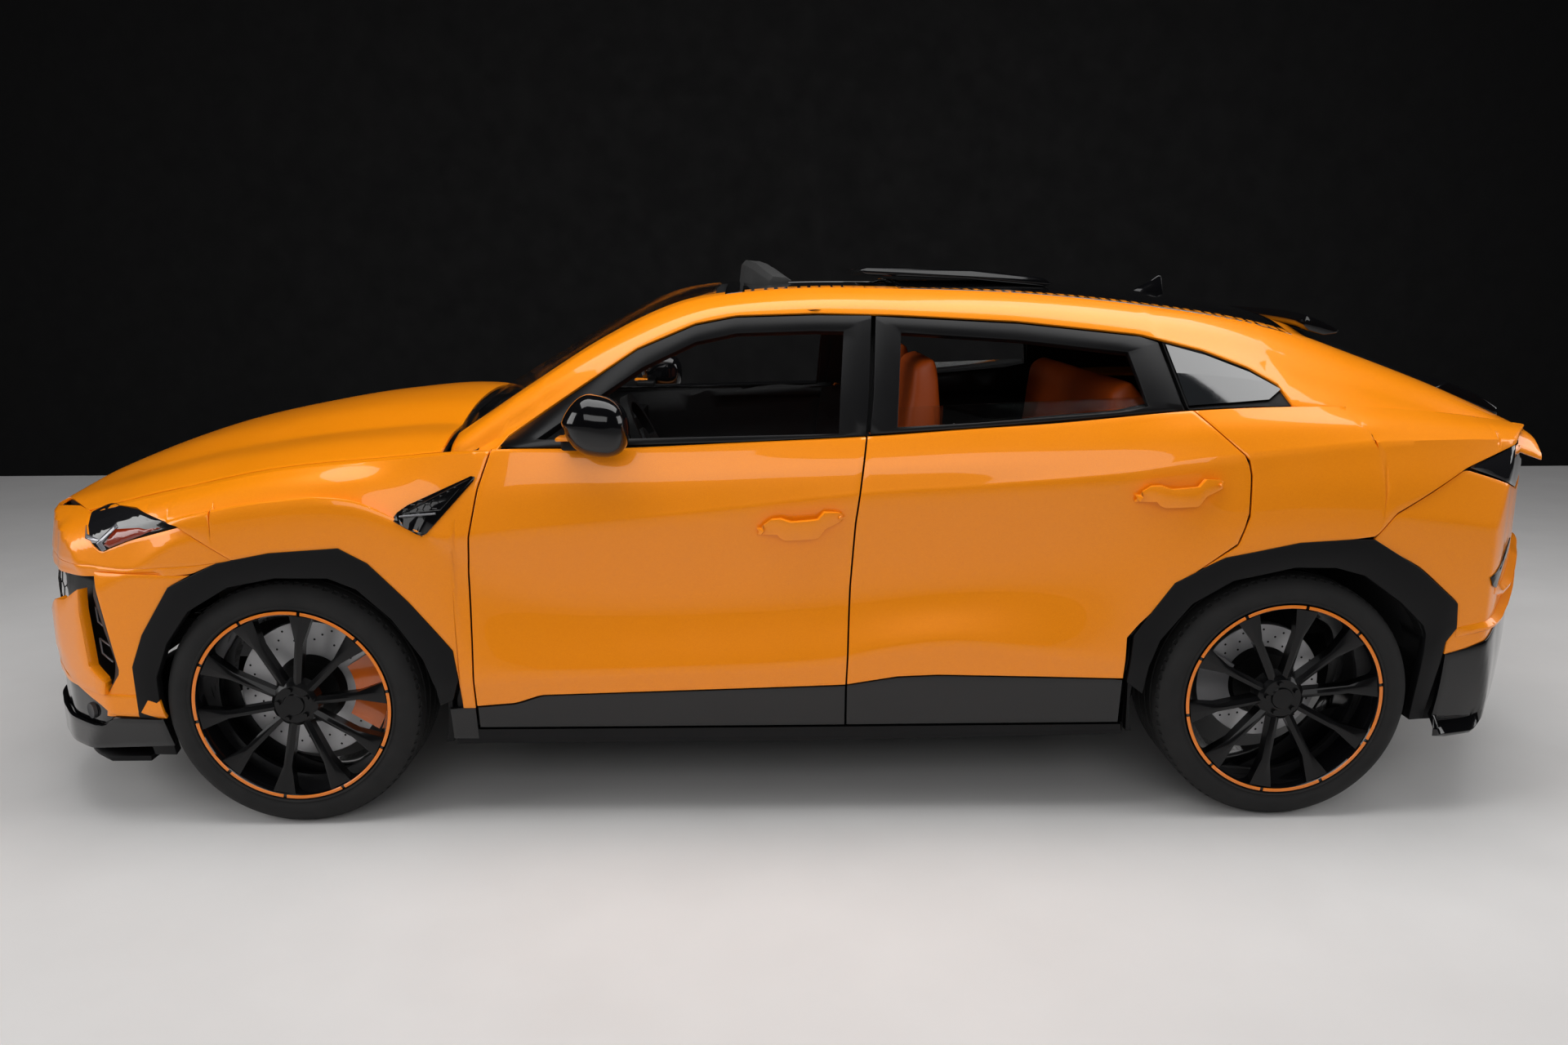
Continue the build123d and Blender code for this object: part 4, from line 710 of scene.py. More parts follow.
for piece in handed("front_door_frame", lambda: ring_band(polar_pair(FRONT_FRAME, FRONT_PANE, 60)),
                    frame_black, "left_front_door", 0.022):
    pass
for piece in handed("rear_door_frame", lambda: ring_band(polar_pair(REAR_FRAME, REAR_PANE, 60)),
                    frame_black, "left_rear_door", 0.022):
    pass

# ---- Roof -------------------------------------------------------------------------------------------
# A gloss-black steel roof skin in three parts round the open hatch, bonded to the cant rails. The
# glass panel slides back above it on arms.
roof_black, tree, shader = new_material("roof_black_paint", (0.003, 0.003, 0.0035), 0.12, 0.0, 1.0)
ROOF_SIDE = [(-0.30, 0.600), (0.60, 0.598), (1.10, 0.600), (1.60, 0.612)]
HATCH = (-0.19, 0.30, 0.42)  # front edge, rear edge, half width
ROOF_PARTS = [
    ("roof_fore", -0.245, HATCH[0], 0.0),
    ("roof_flanks", HATCH[0], HATCH[1], HATCH[2]),
    ("roof_rear", HATCH[1], 1.548, 0.0),
]
for name, x0, x1, inner in ROOF_PARTS:
    columns = max(4, int((x1 - x0) * 30))
    sheet = plan_patch("cabin", [(x0, 0.0), (x0, 1.0)], [(x1, 0.0), (x1, 1.0)], [(-3, inner), (3, inner)],
                       ROOF_SIDE, columns, 20)
    closed_shell(name, sheet, roof_black, "body", 0.012, bevel=0)

# ---- Inner structure -----------------------------------------------------------------------------
# The pressed steel and cast aluminium shell that the outer skins are bonded to, in black primer.
# Each piece follows the built solid a few millimetres inside it, so the skins lie clear outside.
primer_black, tree, shader = new_material("primer_black", (0.006, 0.006, 0.0065), 0.6)
grain = node(tree, "ShaderNodeTexNoise", Scale=160.0, Detail=4.0)
relief = node(tree, "ShaderNodeBump", Strength=0.15, Distance=0.001)
place = node(tree, "ShaderNodeTexCoord")
tree.links.new(place.outputs["Object"], grain.inputs["Vector"])
tree.links.new(grain.outputs["Fac"], relief.inputs["Height"])
tree.links.new(relief.outputs["Normal"], shader.inputs["Normal"])
door_card, tree, shader = new_material("door_card_leather", (0.007, 0.007, 0.0075), 0.55)
CORNER_STRETCH = 1.6
NOSE_ROOM, TAIL_ROOM = 0.05, 0.02


def core(name, inward, material, body, smooth=30):
    """A piece shaped like a built node, drawn in by a few millimetres, standing for that node."""
    bm = bmesh.new()
    bm.from_mesh(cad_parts[name].data)
    bmesh.ops.remove_doubles(bm, verts=bm.verts, dist=0.00002)
    bmesh.ops.recalc_face_normals(bm, faces=bm.faces)
    bm.normal_update()
    normals = {v: v.normal * v.calc_shell_factor() for v in bm.verts}
    for v, normal in normals.items():
        v.co -= normal.normalized() * inward * min(normal.length, CORNER_STRETCH)
        v.co.x = min(v.co.x, read_line(TAIL_PLAN, abs(v.co.y)) - TAIL_ROOM)
        v.co.x = max(v.co.x, read_line(NOSE_PLAN, abs(v.co.y)) + NOSE_ROOM)
    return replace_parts(mesh_piece(f"{name}_core", bm, material, body, smooth), name)


CORE_DEPTHS = {"bodyshell": 0.006, "cabin_frame": 0.006, "front_fenders": 0.008, "roof_panel": 0.004,
               "arch_trims": 0.007}
for name, inward in CORE_DEPTHS.items():
    core(name, inward, primer_black, "body")
core("front_splitter", 0.004, primer_black, "body")
core("tailgate", 0.003, orange_paint, "tailgate")
for name in ("left_front_door", "right_front_door", "left_rear_door", "right_rear_door"):
    core(name, 0.008, door_card, name)
core("bonnet", 0.008, primer_black, "bonnet")

# ---- Wheels ------------------------------------------------------------------------------------
# Cast alloy rims, satin black, with ten wedge-shaped spokes, a gloss barrel and an orange rim line
# broken where spokes meet it. Behind each stands a brake disc. Its drill holes are painted shade:
# dark circles laid on its face, not holes cut through it.
rim_black, tree, shader = new_material("rim_black", (0.004, 0.004, 0.0045), 0.32, 0.4, 0.3)
rim_line, tree, shader = new_material("rim_line_paint", (0.80, 0.20, 0.006), 0.35, 0.1, 0.5)
disc_metal, tree, shader = new_material("disc_metal", (0.46, 0.46, 0.47), 0.33, 0.75)
rings = node(tree, "ShaderNodeTexNoise", Scale=90.0, Detail=3.0)
shine = node(tree, "ShaderNodeMapRange", To_Min=0.26, To_Max=0.42)
place = node(tree, "ShaderNodeTexCoord")
tree.links.new(place.outputs["Object"], rings.inputs["Vector"])
tree.links.new(rings.outputs["Fac"], shine.inputs["Value"])
tree.links.new(shine.outputs["Result"], shader.inputs["Roughness"])
# Dark metal of the disc bells. The same material also paints the shade of the disc's drill holes.
hub_metal, tree, shader = new_material("hub_metal", (0.01, 0.01, 0.01), 0.38, 0.7)
RIM_RADIUS = 0.305
SPOKE_COUNT, SPOKE_START = 10, 28
SPOKE_STEP = 360 // SPOKE_COUNT
BOLT_COUNT, BOLT_CIRCLE = 5, 0.047
HUB_FACE = -0.925
DRILLINGS = 48


def lathe(profile, steps=96, close=False):
    """A ring about the Y axis from (y, radius) points."""
    bm = bmesh.new()
    verts = [bm.verts.new((0, y, r)) for y, r in profile]
    edges = [bm.edges.new(pair) for pair in zip(verts, verts[1:])]
    if close:
        edges.append(bm.edges.new((verts[-1], verts[0])))
    bmesh.ops.spin(bm, geom=verts + edges, axis=(0, 1, 0), cent=(0, 0, 0), angle=math.tau, steps=steps,
                   use_merge=True)
    bmesh.ops.remove_doubles(bm, verts=bm.verts, dist=0.00005)
    bmesh.ops.recalc_face_normals(bm, faces=bm.faces)
    return bm


def face_turn(face):
    """Direction of a face's middle about the wheel axis, in degrees."""
    middle = face.calc_center_median()
    return math.degrees(math.atan2(middle.z, middle.x))


def joined(*parts):
    """One bmesh holding copies of several."""
    out = bmesh.new()
    for part in parts:
        data = bpy.data.meshes.new("part")
        part.to_mesh(data)
        part.free()
        out.from_mesh(data)
        bpy.data.meshes.remove(data)
    return out


def spoke(angle, face_y, hub_y):
    """One wedge spoke: a narrow blade from the hub that widens into a chisel foot at the rim."""
    outer, split = RIM_RADIUS - 0.021, 0.200
    bm = bmesh.new()
    front = [(0.052, 0.0125, face_y + 0.024), (split, 0.0125, face_y + 0.008), (outer, 0.034, face_y),
             (outer, -0.034, face_y), (split, -0.0125, face_y + 0.008), (0.052, -0.0125, face_y + 0.024)]
    verts = [bm.verts.new((r, y, w)) for r, w, y in front]
    ridge = [bm.verts.new((0.052, face_y + 0.016, 0)), bm.verts.new((split + 0.02, face_y - 0.002, 0)),
             bm.verts.new((outer, face_y - 0.001, 0))]
    bm.faces.new((verts[0], ridge[0], ridge[1], verts[1]))
    bm.faces.new((verts[1], ridge[1], ridge[2], verts[2]))
    bm.faces.new((ridge[0], verts[5], verts[4], ridge[1]))
    bm.faces.new((ridge[1], verts[4], verts[3], ridge[2]))
    bmesh.ops.recalc_face_normals(bm, faces=bm.faces)
    rim_edges = [e for e in bm.edges if e.is_boundary]
    down = bmesh.ops.extrude_edge_only(bm, edges=rim_edges)["geom"]
    moved = [g for g in down if isinstance(g, bmesh.types.BMVert)]
    for v in moved:
        v.co.y = hub_y if v.co.x < 0.1 else face_y + 0.045
        v.co.z *= 0.8
    bmesh.ops.holes_fill(bm, edges=[e for e in bm.edges if e.is_boundary], sides=12)
    bmesh.ops.recalc_face_normals(bm, faces=bm.faces)
    bmesh.ops.rotate(bm, verts=bm.verts, cent=(0, 0, 0), matrix=Matrix.Rotation(angle, 3, "Y"))
    return bm


# Axle x, axle height, half track, tyre width, outer face of the rim line and disc radius of each pair.
WHEELS = {
    "left_front": (-1.556, 0.386, 0.8475, 0.2850, 0.985, 0.220),
    "left_rear": (1.447, 0.385, 0.840, 0.325, 0.998, 0.185),
}
for place, (axle_x, axle_z, track, width, ring_y, disc_radius) in WHEELS.items():
    for side, sign in (("left", 1), ("right", -1)):
        name = place.replace("left", side)
        body = f"{name}_wheel"

        def settle(bm, sign=sign, axle_x=axle_x, axle_z=axle_z):
            """Moves a wheel piece to its axle, mirrored for the right side."""
            if sign < 0:
                bmesh.ops.scale(bm, vec=(1, -1, 1), verts=bm.verts)
                bmesh.ops.reverse_faces(bm, faces=bm.faces)
            bmesh.ops.translate(bm, vec=(axle_x, 0, axle_z), verts=bm.verts)
            return bm

        face, inner = -ring_y, -(2 * track - ring_y)
        spokes = [spoke(math.radians(SPOKE_STEP * k + SPOKE_START), face + 0.004, HUB_FACE)
                  for k in range(SPOKE_COUNT)]
        hub = lathe([(HUB_FACE, 0.0), (HUB_FACE, 0.074), (face + 0.026, 0.070), (face + 0.016, 0.058),
                     (face + 0.016, 0.034), (face + 0.010, 0.031), (face + 0.009, 0.0)], 60)
        bolts = []
        for k in range(BOLT_COUNT):
            bolt = bmesh.new()
            bmesh.ops.create_cone(bolt, cap_ends=True, segments=6, radius1=0.009, radius2=0.008, depth=0.014)
            turn = math.tau * k / BOLT_COUNT + 0.5
            turned = Matrix.Translation((BOLT_CIRCLE * math.cos(turn), face + 0.013,
                                         BOLT_CIRCLE * math.sin(turn)))
            bolt.transform(turned @ Matrix.Rotation(math.radians(90), 4, "X"))
            bolts.append(bolt)
        spider = mesh_piece(f"{name}_spokes", settle(joined(hub, *spokes, *bolts)), rim_black, body, 28)
        barrel = lathe([(face + 0.001, 0.2965), (face, 0.289), (face + 0.008, 0.284), (face + 0.03, 0.279),
                        (face + 0.07, 0.262), (inner - 0.03, 0.268), (inner, 0.286), (inner, 0.303),
                        (inner - 0.03, 0.2925), (face + 0.08, 0.272), (face + 0.035, 0.291),
                        (face + 0.006, 0.3005)], close=True)
        piece = mesh_piece(f"{name}_barrel", settle(barrel), gloss_black, body, 30)
        line = lathe([(face - 0.0010, 0.2985), (face - 0.0022, 0.2955), (face - 0.0022, 0.2905),
                      (face - 0.0006, 0.2885), (face + 0.004, 0.293)], 180, close=True)
        notches = [f for f in line.faces if (face_turn(f) + SPOKE_START) % SPOKE_STEP < 2.1]
        bmesh.ops.delete(line, geom=notches, context="FACES")
        bmesh.ops.holes_fill(line, edges=[e for e in line.edges if e.is_boundary], sides=8)
        piece = mesh_piece(f"{name}_rim_line", settle(line), rim_line, body, 30)
        disc_y = -(track - 0.024)
        disc = lathe([(disc_y, 0.085), (disc_y, disc_radius - 0.002), (disc_y + 0.002, disc_radius),
                      (disc_y + 0.034, disc_radius), (disc_y + 0.036, disc_radius - 0.002),
                      (disc_y + 0.036, 0.085)], 120, close=True)
        bell = lathe([(disc_y - 0.001, 0.112), (disc_y - 0.030, 0.098), (disc_y - 0.032, 0.0)], 60)
        # Painted shade: each drill hole is a dark circle of the bell's metal, laid 0.6 mm off the disc face,
        # standing in for the shade inside a hole.
        hole_shade_dots = []
        for k in range(DRILLINGS):
            hole = bmesh.new()
            turn, reach = math.tau * k / DRILLINGS, disc_radius - 0.018 - 0.020 * (k % 3)
            bmesh.ops.create_circle(hole, cap_ends=True, segments=10, radius=0.0036)
            spot = Matrix.Translation((reach * math.cos(turn), disc_y - 0.0006, reach * math.sin(turn)))
            hole.transform(spot @ Matrix.Rotation(math.radians(90), 4, "X"))
            hole_shade_dots.append(hole)
        piece = mesh_piece(f"{name}_disc", settle(disc), disc_metal, body, 30)
        # The bell and the dark painted-shade circles of the drill holes make one piece.
        piece = mesh_piece(f"{name}_disc_bell_and_hole_shade", settle(joined(bell, *hole_shade_dots)), hub_metal, body, 30)
        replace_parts(piece, f"{name}_rim")

# ---- Tyres -----------------------------------------------------------------------------------------
# Low-profile summer tyres: bare sidewalls with a rim guard, round shoulders, four grooves round
# the tread and short straight sipes across its shoulders.
tyre_rubber, tree, shader = new_material("tyre_rubber", (0.0055, 0.0055, 0.006), 0.70)
dust = node(tree, "ShaderNodeTexNoise", Scale=14.0, Detail=8.0)
worn = node(tree, "ShaderNodeMix", data_type="RGBA")
worn.inputs[6].default_value = (0.011, 0.011, 0.0115, 1)
worn.inputs[7].default_value = (0.022, 0.0215, 0.021, 1)
place = node(tree, "ShaderNodeTexCoord")
tree.links.new(place.outputs["Object"], dust.inputs["Vector"])
tree.links.new(dust.outputs["Fac"], worn.inputs[0])
tree.links.new(worn.outputs[2], shader.inputs["Base Color"])
for place, (axle_x, axle_z, track, width, ring_y, disc_radius) in WHEELS.items():
    half, r = width / 2, axle_z
    wall = [(-half + 0.014, 0.3015), (-half + 0.004, 0.304), (-half + 0.001, 0.309), (-half + 0.004, 0.313),
            (-half + 0.001, 0.322), (-half, 0.335), (-half + 0.004, 0.352), (-half + 0.012, r - 0.020),
            (-half + 0.022, r - 0.009), (-half + 0.036, r - 0.003)]
    tread = []
    for groove in (-0.075, -0.027, 0.027, 0.075):
        y = groove * half / 0.1425
        tread += [(y - 0.0055, r - 0.0005), (y - 0.0045, r - 0.0075),
                  (y + 0.0045, r - 0.0075), (y + 0.0055, r - 0.0005)]
    far_wall = [(-y, rr) for y, rr in reversed(wall)]
    profile = wall + tread + far_wall + [(half - 0.03, 0.298), (-half + 0.03, 0.298)]
    for side, sign in (("left", 1), ("right", -1)):
        name = place.replace("left", side)
        rubber = lathe([(y - track, rr) for y, rr in profile], 160, close=True)
        bands = [f for f in rubber.faces if f.calc_center_median().xz.length > r - 0.012
                 and abs(abs(f.calc_center_median().y + track) - (half - 0.029)) < 0.012]
        sipes = [f for f in bands if int((face_turn(f) + 360) / 2.25) % 2]
        bmesh.ops.inset_individual(rubber, faces=sipes, thickness=0.0016, depth=-0.0035)
        if sign < 0:
            bmesh.ops.scale(rubber, vec=(1, -1, 1), verts=rubber.verts)
            bmesh.ops.reverse_faces(rubber, faces=rubber.faces)
        bmesh.ops.translate(rubber, vec=(axle_x, 0, axle_z), verts=rubber.verts)
        piece = mesh_piece(f"{name}_tyre_rubber", rubber, tyre_rubber, f"{name}_wheel", 32)
        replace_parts(piece, f"{name}_tyre")

# ---- Nose --------------------------------------------------------------------------------------------
# A moulded bumper in orange and gloss black clipped to the front: a sharp upper lip over a dark
# band, side intakes with a matte blade behind each, a meshed middle and a splitter chin.
NOSE_RUN = [(-1.60, 1.060)] + NOSE_PLAN


def plan_place(run, reach):
    """Point and outward direction at a distance along a plan line."""
    for a, b in zip(run, run[1:]):
        span = math.dist(a, b)
        if reach <= span or b is run[-1]:
            k = min(reach / span, 1.0)
            point = (a[0] + (b[0] - a[0]) * k, a[1] + (b[1] - a[1]) * k)
            return point, ((b[1] - a[1]) / span, (b[0] - a[0]) / span)
        reach -= span


def reach_of(run, x):
    """Distance along a plan line to the point with this x."""
    total = 0.0
    for a, b in zip(run, run[1:]):
        if min(a[0], b[0]) <= x <= max(a[0], b[0]):
            return total + math.dist(a, b) * abs(x - a[0]) / max(abs(b[0] - a[0]), 1e-9)
        total += math.dist(a, b)
    return total


NOSE_END = sum(math.dist(a, b) for a, b in zip(NOSE_RUN, NOSE_RUN[1:]))
TAIL_RUN = [(1.50, 1.060)] + TAIL_PLAN
TAIL_END = sum(math.dist(a, b) for a, b in zip(TAIL_RUN, TAIL_RUN[1:]))


def wrap_point(end, reach, z, lift=0.0):
    """Point on the nose (end -1) or tail (end 1) skin at a distance round the corner, pushed outwards."""
    run, total = (NOSE_RUN, NOSE_END) if end < 0 else (TAIL_RUN, TAIL_END)
    (x, y), (nx, ny) = plan_place(run, min(reach, total))
    nx, ny = (-abs(nx), abs(ny)) if end < 0 else (abs(nx), abs(ny))
    if end < 0:
        x += 0.2 * max(0.0, z - 0.70) * min(max((-x - 2.19) / 0.15, 0.0), 1.0)
        x = max(x, read_line(NOSE_PROFILE, z))
    else:
        x = min(x, read_line(TAIL_PROFILE, z))
    ring = body_ring(x)
    wide = max(p[0] for p in ring)
    for low, high in zip(ring, ring[1:]):
        if low[1] <= z <= high[1]:
            wide = low[0] + (high[0] - low[0]) * (z - low[1]) / max(high[1] - low[1], 1e-6)
    y = min(y, wide)
    return Vector((x + nx * lift, -(y + ny * lift if reach < total else 0.0), z))


def wrap_band(end, upper, lower, columns, rows, lift=0.0, bow=0.0):
    """A sheet round a corner between two runs of (reach, z) points; bow swells its middle rows."""
    bm = bmesh.new()
    bmesh.ops.create_grid(bm, x_segments=columns, y_segments=rows, size=1)
    for v in bm.verts:
        t, r = (v.co.x + 1) / 2, (v.co.y + 1) / 2
        a, b = ((read_line(line, line[0][0] + (line[-1][0] - line[0][0]) * t, 0)) for line in (lower, upper))
        near = lower[0][0] * (1 - r) + upper[0][0] * r
        far = lower[-1][0] * (1 - r) + upper[-1][0] * r
        reach = near * (1 - t) + far * t
        up = read_line(upper, min(max(reach, upper[0][0]), upper[-1][0]), 0)
        down = read_line(lower, min(max(reach, lower[0][0]), lower[-1][0]), 0)
        v.co = wrap_point(end, reach, down + (up - down) * r, lift + bow * math.sin(math.pi * r))
    bmesh.ops.remove_doubles(bm, verts=bm.verts, dist=0.0006)
    return bm


def nose(x):
    """Reach along the nose line of a flank point at x."""
    return reach_of(NOSE_RUN, x)


def tail(x):
    """Reach along the tail line of a flank point at x."""
    return reach_of(TAIL_RUN, x)


def wrap_shape(end, outline, lift, cuts=4):
    """A filled outline of (reach, z) points laid on a corner, lifted outwards."""
    bm = bmesh.new()
    ring = []
    for (a, za), (b, zb) in zip(outline, outline[1:] + outline[:1]):
        ring += [bm.verts.new((a + (b - a) * k / cuts, za + (zb - za) * k / cuts, 0)) for k in range(cuts)]
    bm.faces.new(ring)
    bmesh.ops.triangulate(bm, faces=bm.faces[:])
    bmesh.ops.subdivide_edges(bm, edges=bm.edges[:], cuts=2, use_grid_fill=True)
    bmesh.ops.recalc_face_normals(bm, faces=bm.faces)
    for v in bm.verts:
        v.co = wrap_point(end, v.co.x, v.co.y, lift)
    return bm


SEAM_TOP = [(nose(-1.680), 0.845), (nose(-1.828), 0.943), (nose(-1.999), 0.896), (nose(-2.092), 0.858),
            (nose(-2.122), 0.879), (nose(-2.156), 0.917), (nose(-2.190), 0.951), (nose(-2.33), 0.953),
            (nose(-2.44), 0.940), (nose(-2.50), 0.934), (NOSE_END, 0.932)]
LIP_LINE = [(nose(-1.680), 0.8445), (nose(-1.728), 0.8375), (nose(-1.80), 0.830), (nose(-1.909), 0.822),
            (nose(-2.021), 0.813), (nose(-2.142), 0.819), (nose(-2.30), 0.815), (NOSE_END, 0.80)]
UNDER_LIP = [(nose(-1.680), 0.844), (nose(-1.728), 0.837), (nose(-1.80), 0.806), (nose(-1.85), 0.800),
             (nose(-2.054), 0.792), (nose(-2.11), 0.787), (nose(-2.30), 0.775), (NOSE_END, 0.765)]
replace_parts(closed_shell("nose_upper", wrap_band(-1, SEAM_TOP, LIP_LINE, 110, 8), orange_paint,
                                 "body", 0.012), "front_bumper")
lip = wrap_band(-1, LIP_LINE, UNDER_LIP, 110, 3)
for v in lip.verts:
    if v.co.x < -1.9 and v.co.z < 0.806:
        v.co.y += 0.006
closed_shell("nose_lip_foot", lip, orange_paint, "body", 0.012)


def flank_sheet():
    """The orange flank of the bumper, from the arch to the side intake."""
    bm = bmesh.new()
    bmesh.ops.create_grid(bm, x_segments=16, y_segments=30, size=1)
    front = [(-2.130, 0.350), (-2.112, 0.428), (-2.069, 0.491), (-2.115, 0.762), (-2.118, 0.788)]
    rear = [(-1.955, 0.350), (-1.975, 0.410), (-2.022, 0.440), (-2.024, 0.513), (-1.980, 0.615),
            (-1.879, 0.764), (-1.800, 0.806)]
    for v in bm.verts:
        t, r = (v.co.x + 1) / 2, (v.co.y + 1) / 2
        z = 0.350 + r * (0.800 - 0.350)
        x = read_line(rear, z) * (1 - t) + read_line(front, z) * t
        v.co = wrap_point(-1, nose(x), z)
    return bm


closed_shell("nose_flanks", flank_sheet(), orange_paint, "body", 0.010)
blade_rear = [(-2.112, 0.428), (-2.069, 0.491), (-2.115, 0.762)]
blade_front = [(-2.112, 0.428), (-2.094, 0.521), (-2.150, 0.724), (-2.137, 0.762)]


def strip(left, right, low, high, columns, rows, lift):
    """A sheet between two (x, z) lines on the nose's flank."""
    bm = bmesh.new()
    bmesh.ops.create_grid(bm, x_segments=columns, y_segments=rows, size=1)
    for v in bm.verts:
        t, r = (v.co.x + 1) / 2, (v.co.y + 1) / 2
        z = low + r * (high - low)
        v.co = wrap_point(-1, nose(read_line(left, z) * (1 - t) + read_line(right, z) * t), z, lift(t, r))
    bmesh.ops.remove_doubles(bm, verts=bm.verts, dist=0.0004)
    return bm


blade_black, tree, shader = new_material("blade_black_plastic", (0.030, 0.030, 0.032), 0.42)
blades = strip(blade_rear, blade_front, 0.430, 0.762, 4, 24, lambda t, r: 0.001 - 0.020 * t)
closed_shell("nose_blades", blades, blade_black, "body", 0.012)
mesh_black, tree, shader = new_material("grille_mesh_black", (0.006, 0.006, 0.006), 0.35, 0.2)
side_hole = wrap_band(-1, [(nose(-2.07), 0.785), (NOSE_END, 0.770)],
                      [(nose(-2.07), 0.43), (NOSE_END, 0.40)], 60, 12, lift=-0.045)
closed_shell("intake_backs", side_hole, mesh_black, "body", 0.004, bevel=0)
post = wrap_shape(-1, [(nose(-2.174), 0.716), (nose(-2.170), 0.745), (nose(-2.245), 0.700),
                       (nose(-2.30), 0.690), (nose(-2.36), 0.640), (nose(-2.37), 0.520),
                       (nose(-2.31), 0.475), (nose(-2.24), 0.430), (nose(-2.112), 0.424),
                       (nose(-2.106), 0.462), (nose(-2.164), 0.505), (nose(-2.178), 0.677)], 0.012)
closed_shell("intake_frames", post, orange_paint, "body", 0.030)
foot = wrap_band(-1, [(nose(-1.955), 0.420), (nose(-2.11), 0.424), (nose(-2.36), 0.448), (NOSE_END, 0.430)],
                 [(nose(-1.94), 0.346), (nose(-2.10), 0.356), (nose(-2.15), 0.385), (nose(-2.25), 0.420),
                  (nose(-2.36), 0.425), (NOSE_END, 0.395)], 60, 4, lift=0.003)
closed_shell("nose_low_band", foot, orange_paint, "body", 0.012)
chin = wrap_band(-1, [(nose(-2.094), 0.355), (nose(-2.15), 0.383), (nose(-2.25), 0.416), (NOSE_END, 0.392)],
                 [(nose(-2.094), 0.300), (nose(-2.135), 0.300), (NOSE_END, 0.275)], 60, 6, lift=-0.006)
closed_shell("chin_recess", chin, gloss_black, "body", 0.010)
blade = wrap_band(-1, [(nose(-1.948), 0.345), (nose(-2.10), 0.350), (nose(-2.14), 0.316), (NOSE_END, 0.290)],
                  [(nose(-1.948), 0.240), (nose(-2.13), 0.232), (NOSE_END, 0.205)], 60, 5, lift=0.010)
closed_shell("chin_blade", blade, gloss_black, "body", 0.014)
cover = lathe([(0.0, 0.0), (-0.002, 0.020), (-0.004, 0.024), (0.006, 0.026), (0.010, 0.0)], 32)
bmesh.ops.rotate(cover, verts=cover.verts, cent=(0, 0, 0), matrix=Matrix.Rotation(math.radians(-38), 3, "Z"))
spot = wrap_point(-1, nose(-2.20), 0.352, 0.001)
bmesh.ops.translate(cover, verts=cover.verts, vec=spot)
piece = mesh_piece("tow_eye_cover", cover, blade_black, "body", 30)

silver_trim, tree, shader = new_material("silver_trim", (0.20, 0.20, 0.21), 0.32, 0.8)


def wrap_tube(end, points, radius, lift, rounds=8):
    """A thin round bar that follows (reach, z) points on a corner."""
    parts = []
    places = [wrap_point(end, reach, z, lift) for reach, z in points]
    for a, b in zip(places, places[1:]):
        bar = bmesh.new()
        bmesh.ops.create_cone(bar, cap_ends=True, segments=rounds, radius1=radius, radius2=radius,
                              depth=(b - a).length + radius)
        bar.transform(Matrix.Translation((a + b) / 2) @ (b - a).to_track_quat("Z", "Y").to_matrix().to_4x4())
        parts.append(bar)
    return joined(*parts)


def twin(bm):
    """Adds the mirror image of a bmesh to itself."""
    geom = bmesh.ops.duplicate(bm, geom=bm.verts[:] + bm.edges[:] + bm.faces[:])["geom"]
    bmesh.ops.scale(bm, vec=(1, -1, 1), verts=[g for g in geom if isinstance(g, bmesh.types.BMVert)])
    bmesh.ops.reverse_faces(bm, faces=[g for g in geom if isinstance(g, bmesh.types.BMFace)])
    return bm


hooks = []
for z in (0.665, 0.565):
    hooks.append(wrap_tube(-1, [(nose(-2.120), z + 0.000), (nose(-2.165), z + 0.016),
                                (nose(-2.162), z - 0.030), (nose(-2.118), z - 0.050)], 0.0028, -0.030))
mesh_piece("intake_hooks", twin(joined(*hooks)), silver_trim, "body")


def honeycomb(end, left, right, low, high, size, radius, lift):
    """Bars round the hexagons that fill a region of a corner, drawn as thin three-sided rods."""
    parts = []
    columns, rows = int((right - left) / (1.5 * size)) + 1, int((high - low) / (size * 1.732)) + 1
    for i in range(columns):
        for j in range(rows):
            cx, cz = left + 1.5 * size * i, low + size * 1.732 * (j + 0.5 * (i % 2))
            corner = [(cx + size * math.cos(math.radians(60 * k)), cz + size * math.sin(math.radians(60 * k)))
                      for k in (0, 1, 2, 3)]
            if all(left <= c[0] <= right and low <= c[1] <= high for c in corner):
                parts.append(wrap_tube(end, corner, radius, lift, 3))
    return joined(*parts)


net = honeycomb(-1, nose(-2.37), NOSE_END - 0.02, 0.46, 0.76, 0.030, 0.0022, -0.022)
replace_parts(mesh_piece("nose_mesh", twin(net), gloss_black, "body"), "grilles")

# ---- Headlamps ----------------------------------------------------------------------------------------
# Smoked one-piece covers over black housings, with a bright Y-shaped guide and an amber side
# reflector behind each.
smoked_lens, tree, shader = new_material("smoked_lens", (0.008, 0.008, 0.009), 0.06, 0.0, 1.0)
lamp_silver, tree, shader = new_material("lamp_silver", (0.22, 0.22, 0.24), 0.25, 0.6, 1.0)
amber, tree, shader = new_material("amber_reflector", (0.22, 0.018, 0.002), 0.22, 0.0, 1.0)
front_lamp = wrap_band(-1, [(nose(-1.835), 0.9465), (nose(-1.993), 0.979), (nose(-2.10), 0.981),
                            (nose(-2.14), 0.976), (nose(-2.186), 0.953)],
                       [(nose(-1.835), 0.9455), (nose(-2.0), 0.899), (nose(-2.092), 0.861),
                        (nose(-2.122), 0.882), (nose(-2.156), 0.920), (nose(-2.186), 0.949)], 50, 8,
                       lift=0.001)
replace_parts(closed_shell("lamp_covers", front_lamp, smoked_lens, "body", 0.030, bevel=0.001),
                    "headlamps")
guide = [[(-2.168, 0.925), (-2.150, 0.905), (-2.095, 0.896), (-2.050, 0.940), (-2.040, 0.932),
          (-2.085, 0.886), (-2.150, 0.893)], [(-2.095, 0.896), (-2.070, 0.868), (-2.085, 0.862),
                                              (-2.108, 0.885)]]
for k, shape in enumerate(guide):
    closed_shell(f"lamp_guide_{k}", wrap_shape(-1, [(nose(x), z) for x, z in shape], 0.0035, 2),
                         lamp_silver, "body", 0.002, bevel=0)
